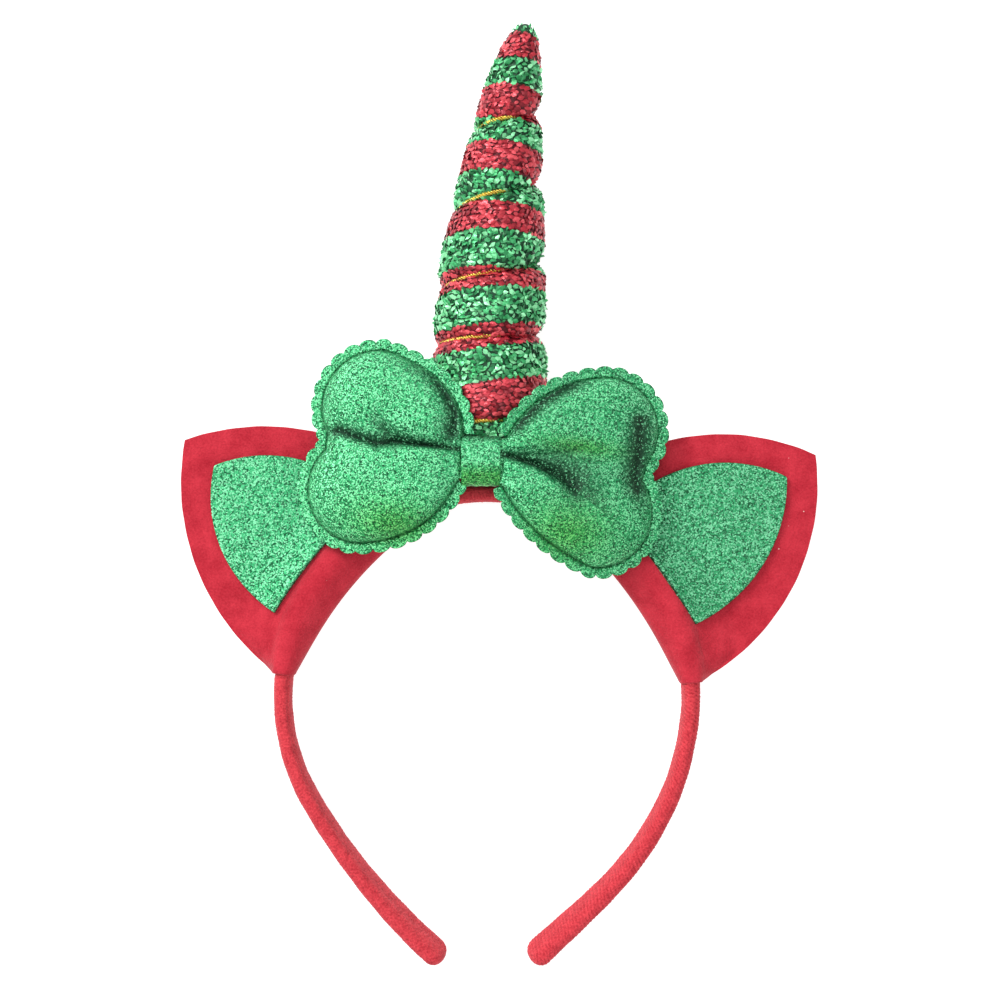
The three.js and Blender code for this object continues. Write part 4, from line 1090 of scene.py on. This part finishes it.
def loop_skin(side, line, folds, warm_light_spots, rings_in, rings_out):
    """Closed skin of one loop on rings about its middle, with painted shade in its folds and pressed line
    and painted warm light from below. Share runs from 0 at the middle to 1 at the pressed line. The height
    there is that of a round shoulder, LOOP_PUFF * sqrt(1 - (1 - d / PUFF_SHOULDER)^2), held down at the knot
    by the strap, with folds. A flat rim runs on to the scallops, each half an oval along the outer edge."""
    count = len(line)
    centre = np.array([LOOP_REACH * 0.6, 0.0])
    tab_end = LOOP_START - TAB
    tab = np.array([line[-1], (tab_end, line[-1, 1] * 0.8), (tab_end, line[0, 1] * 0.8), line[0]])
    closed = np.concatenate([line, evenly(tab, 42)[1:-1]])
    within = len(closed) - count
    coarse = line[::4]
    share = 1 - (1 - np.linspace(0.015, 1, rings_in)) ** 1.25
    inner = centre + (closed - centre) * share[:, None, None]
    from_line = along_line(inner, coarse)[0]
    rise = np.minimum(from_line / PUFF_SHOULDER, 1)
    dome = LOOP_PUFF * np.sqrt(1 - (1 - rise) ** 2) + 0.02
    from_knot = inner[..., 0] - LOOP_START
    waist = WAIST_HALF + WAIST_RISE * np.sqrt(np.clip(from_knot / WAIST_RUN, 0, 1))
    dome = (dome ** -4.0 + waist ** -4.0) ** -0.25
    found = [fold_height(inner, fold) for fold in folds]
    change = sum(height for height, _ in found) * np.clip(dome / 4, 0, 1)
    crease_shade = np.max([dark for _, dark in found], axis=0)
    height = np.maximum(dome + change, dome * 0.1)
    ruffle = 0.3 * np.sin(inner[..., 1] * 1.9 + 2) * np.exp(-np.maximum(from_knot, 0) / 7)
    wobble = 0.3 * np.sin(inner[..., 0] / 4.7 + 2) * np.sin(inner[..., 1] / 3.9 + 1)
    height += (wobble + ruffle) * np.clip(dome / 4 - 0.2, 0, 1) + SHEET_THICK / 2
    before, after = np.roll(closed, 1, axis=0), np.roll(closed, -1, axis=0)
    along = unit(after - before)
    out = np.stack([-along[:, 1], along[:, 0]], -1)
    outer = (closed + out * RIM_WIDE)[:count]
    run = distances(outer)
    scallops = round(run[-1] / SCALLOP_PITCH)
    run = run / run[-1]
    wave = np.sqrt(1 - (2 * ((scallops * run) % 1) - 1) ** 2)
    at_line = np.clip(np.minimum(run, 1 - run) * 50, 0, 1)
    reach = (RIM_WIDE - SCALLOP_DEEP * (1 - wave)) * (0.8 + 0.2 * at_line)
    reach = np.concatenate([reach, np.full(within, 0.02)])
    rim_share = np.linspace(0, 1, rings_out)[1:] ** 1.5
    from_rim = reach * rim_share[:, None]
    rim = closed + out * from_rim[..., None]
    lean = side * np.tan(BOW_TURN)
    strap_side = STRAP_WIDE / 2 + CLEARANCE + side * STRAP_SHIFT[0] + lean * rim[..., 1]
    level = np.abs(rim[..., 1] + lean * rim[..., 0] - STRAP_SHIFT[1]) < STRAP_HIGH / 2 + CLEARANCE
    level[:, count:] = False
    rim[..., 0] = np.where(level, np.maximum(rim[..., 0], strap_side), rim[..., 0])
    curl = np.concatenate([0.16 * np.sin(run * 61), np.zeros(within)]) * rim_share[:, None]
    pressing = np.exp(-(from_line / PRESS_HALF) ** 2), np.exp(-(from_rim / PRESS_HALF) ** 2)
    height -= PRESS_DEEP * pressing[0]
    rim_height = SHEET_THICK / 2 + curl - PRESS_DEEP * pressing[1]
    edge = rim[-1]
    back = centre + (edge - centre) * np.array([1.0, 0.9, 0.6, 0.25])[:, None, None]
    flat = np.concatenate([inner, rim, back])
    z = np.concatenate([height, rim_height, np.full(back.shape[:2], -SHEET_THICK / 2)])
    z -= LOOP_FALL * (flat[..., 0] - LOOP_START)
    darkest = np.maximum(crease_shade, PRESS_DARK * pressing[0])
    shade = np.concatenate([darkest, PRESS_DARK * pressing[1], np.zeros(back.shape[:2])])
    warm = sum(
        np.exp(-((flat[..., 0] - x) / wide) ** 2 - ((flat[..., 1] - y) / high) ** 2)
        for x, y, wide, high in warm_light_spots
    )
    return np.stack([side * flat[..., 0], flat[..., 1], z], -1), shade, warm


def on_bow(points, turn=BOW_TURN, shift=(0.0, 0.0)):
    """From the bow's own axes to the band's plane: turned by an angle, and set at the knot's place."""
    x, y = points[..., 0], points[..., 1]
    return np.stack([
        BOW_SIDE + shift[0] + x * np.cos(turn) - y * np.sin(turn),
        BOW_HEIGHT + shift[1] + x * np.sin(turn) + y * np.cos(turn),
        BOW_DEPTH + points[..., 2],
    ], -1)


bow_film = glitter("bow_glitter", BOW_GRAIN, 0.8, BOW_SHADE, BOW_BODY, BOW_SPARK)
for name, side in (("left", -1), ("right", 1)):
    line = pressed_line(LOBES[f"{name}_upper"], LOBES[f"{name}_lower"], 560)
    skin, *tones = loop_skin(side, line, FOLDS[name], WARM_LIGHT_SPOTS[name], 84, 12)
    points, faces = loft(on_bow(skin))
    tones = dict(zip(("shade", "warm"), map(with_ends, tones)))
    loop = piece(f"bow_{name}_loop", points, faces, "bow_pad", "green_glitter_cloth", bow_film, **tones)

# Knot. A strap of the same cloth wrapped once round the waist and closed behind, its front slightly full
# and its back hanging a little lower. It sits upright although the bow leans.

STRAP_TUCK = 1.6


def strap_rings(rows, columns):
    """Closed strap: its section, a thin rounded bar STRAP_WIDE by STRAP_THICK, is carried round the waist.
    The path is a superellipse of power 3.3 whose front bulges by KNOT_CROWN * cos^2 and whose back hangs
    lower by up to STRAP_TUCK, and the section's corners follow a superellipse of power 4."""
    turn = np.linspace(0, 2 * np.pi, rows, endpoint=False)[:, None]
    around = np.linspace(0, 2 * np.pi, columns, endpoint=False)[None]
    sine, cosine = np.sin(turn), np.cos(turn)
    half_high = STRAP_HIGH / 2 - STRAP_THICK / 2
    half_deep = WAIST_THICK / 2 + CLEARANCE + STRAP_THICK / 2
    tuck = STRAP_TUCK * np.clip(-sine, 0, 1) * (1 - cosine) / 2
    y = half_high * rounded(sine, 0.6) - tuck
    z = half_deep * rounded(cosine, 0.6) + KNOT_CROWN * np.clip(cosine, 0, 1) ** 2
    out_y, out_z = sine / half_high, cosine / half_deep
    length = np.hypot(out_y, out_z)
    bar_x = STRAP_WIDE / 2 * rounded(np.cos(around), 0.5)
    bar_out = STRAP_THICK / 2 * rounded(np.sin(around), 0.5)
    bar_out = bar_out + 0.12 * np.cos(bar_x * 2.1 + 3 * sine) * (bar_out > 0)
    y, z = y + bar_out * out_y / length, z + bar_out * out_z / length
    return np.stack(np.broadcast_arrays(bar_x, y, z), -1)


rings = on_bow(strap_rings(120, 64), 0.0, STRAP_SHIFT)
rows, columns = rings.shape[:2]
at = np.arange(rows * columns).reshape(rows, columns)
below, ahead = np.roll(at, -1, axis=0), np.roll(at, -1, axis=1)
quads = np.stack([at, ahead, np.roll(below, -1, axis=1), below], -1).reshape(-1, 4)
height = rings[..., 1].ravel() - BOW_HEIGHT - STRAP_SHIFT[1]
# Painted light on the knot: warm light from below on its lower part, and the horn's shadow across its top.
tones = {"warm": np.clip((-height - 0.5) / 4, 0, 1), "shade": np.clip((height - 5) / 3, 0, 0.8)}
points = rings.reshape(-1, 3)
strap = piece("bow_knot", points, [quads], "bow_knot", "green_glitter_cloth", bow_film, **tones)

# Studio: a plain pale floor, soft light from the upper left, and the camera square to the headband.

VIEW_CENTRE = np.array([4.16, 63.04, 0.0])
CAMERA_AWAY = 700.0
SEEN_WIDE = 320.0
FLOOR_SIZE = 6.0
FLOOR_DROP = 0.0002


def lit_table():
    """White acrylic table lit from below, with a faint grain."""
    white = (1, 1, 1, 1)
    table = Finish("white_table", Roughness=0.9, Emission_Color=white, Emission_Strength=0.8)
    grain = table.place.noise(2.0, 3.0)
    table.feed("Base Color", grain.blend((0.48, 0.48, 0.48, 1), (0.52, 0.52, 0.52, 1)))
    return table.material


floor_mesh = bpy.data.meshes.new("floor")
half = FLOOR_SIZE / 2
corners = [(x, y, -FLOOR_DROP) for x, y in ((-half, -half), (half, -half), (half, half), (-half, half))]
floor_mesh.from_pydata(corners, [], [(0, 1, 2, 3)])
floor_mesh.materials.append(lit_table())
floor = placed("floor", floor_mesh)


def softbox(name, place, size, watts):
    """A square white area light at a place in metres, turned to the middle of the view."""
    light = bpy.data.lights.new(name, "AREA")
    light.size, light.energy = size, watts
    aim = Vector(laid(VIEW_CENTRE)) - Vector(place)
    turn = aim.to_track_quat("-Z", "Y").to_matrix().to_4x4()
    placed(name, light).matrix_world = Matrix.Translation(place) @ turn


softbox("key", (-0.8, 0.75, 0.95), 0.55, 15.5)
softbox("fill", (0.9, -0.2, 1.2), 1.0, 1.6)
softbox("low", (-0.1, -0.95, 0.8), 0.8, 3.5)
softbox("top", (-0.1, 0.2, 1.6), 1.0, 8)

world = bpy.data.worlds.new("studio")
bpy.context.scene.world = world
world.use_nodes = True
world.node_tree.nodes["Background"].inputs["Color"].default_value = (1, 1, 1, 1)
world.node_tree.nodes["Background"].inputs["Strength"].default_value = 0.45

camera_data = bpy.data.cameras.new("camera")
camera_data.sensor_width = 36.0
camera_data.lens = camera_data.sensor_width * CAMERA_AWAY / SEEN_WIDE
camera_data.clip_start = 0.01
camera = placed("camera", camera_data)
eye = laid(VIEW_CENTRE + np.array([0, 0, CAMERA_AWAY]))
turned = Matrix(np.stack([(1, 0, 0), UP_THE_HORN, TO_THE_FRONT], 1))
camera.matrix_world = Matrix.Translation(eye) @ turned.to_4x4()
bpy.context.scene.camera = camera
bpy.context.scene.view_settings.view_transform = "Standard"
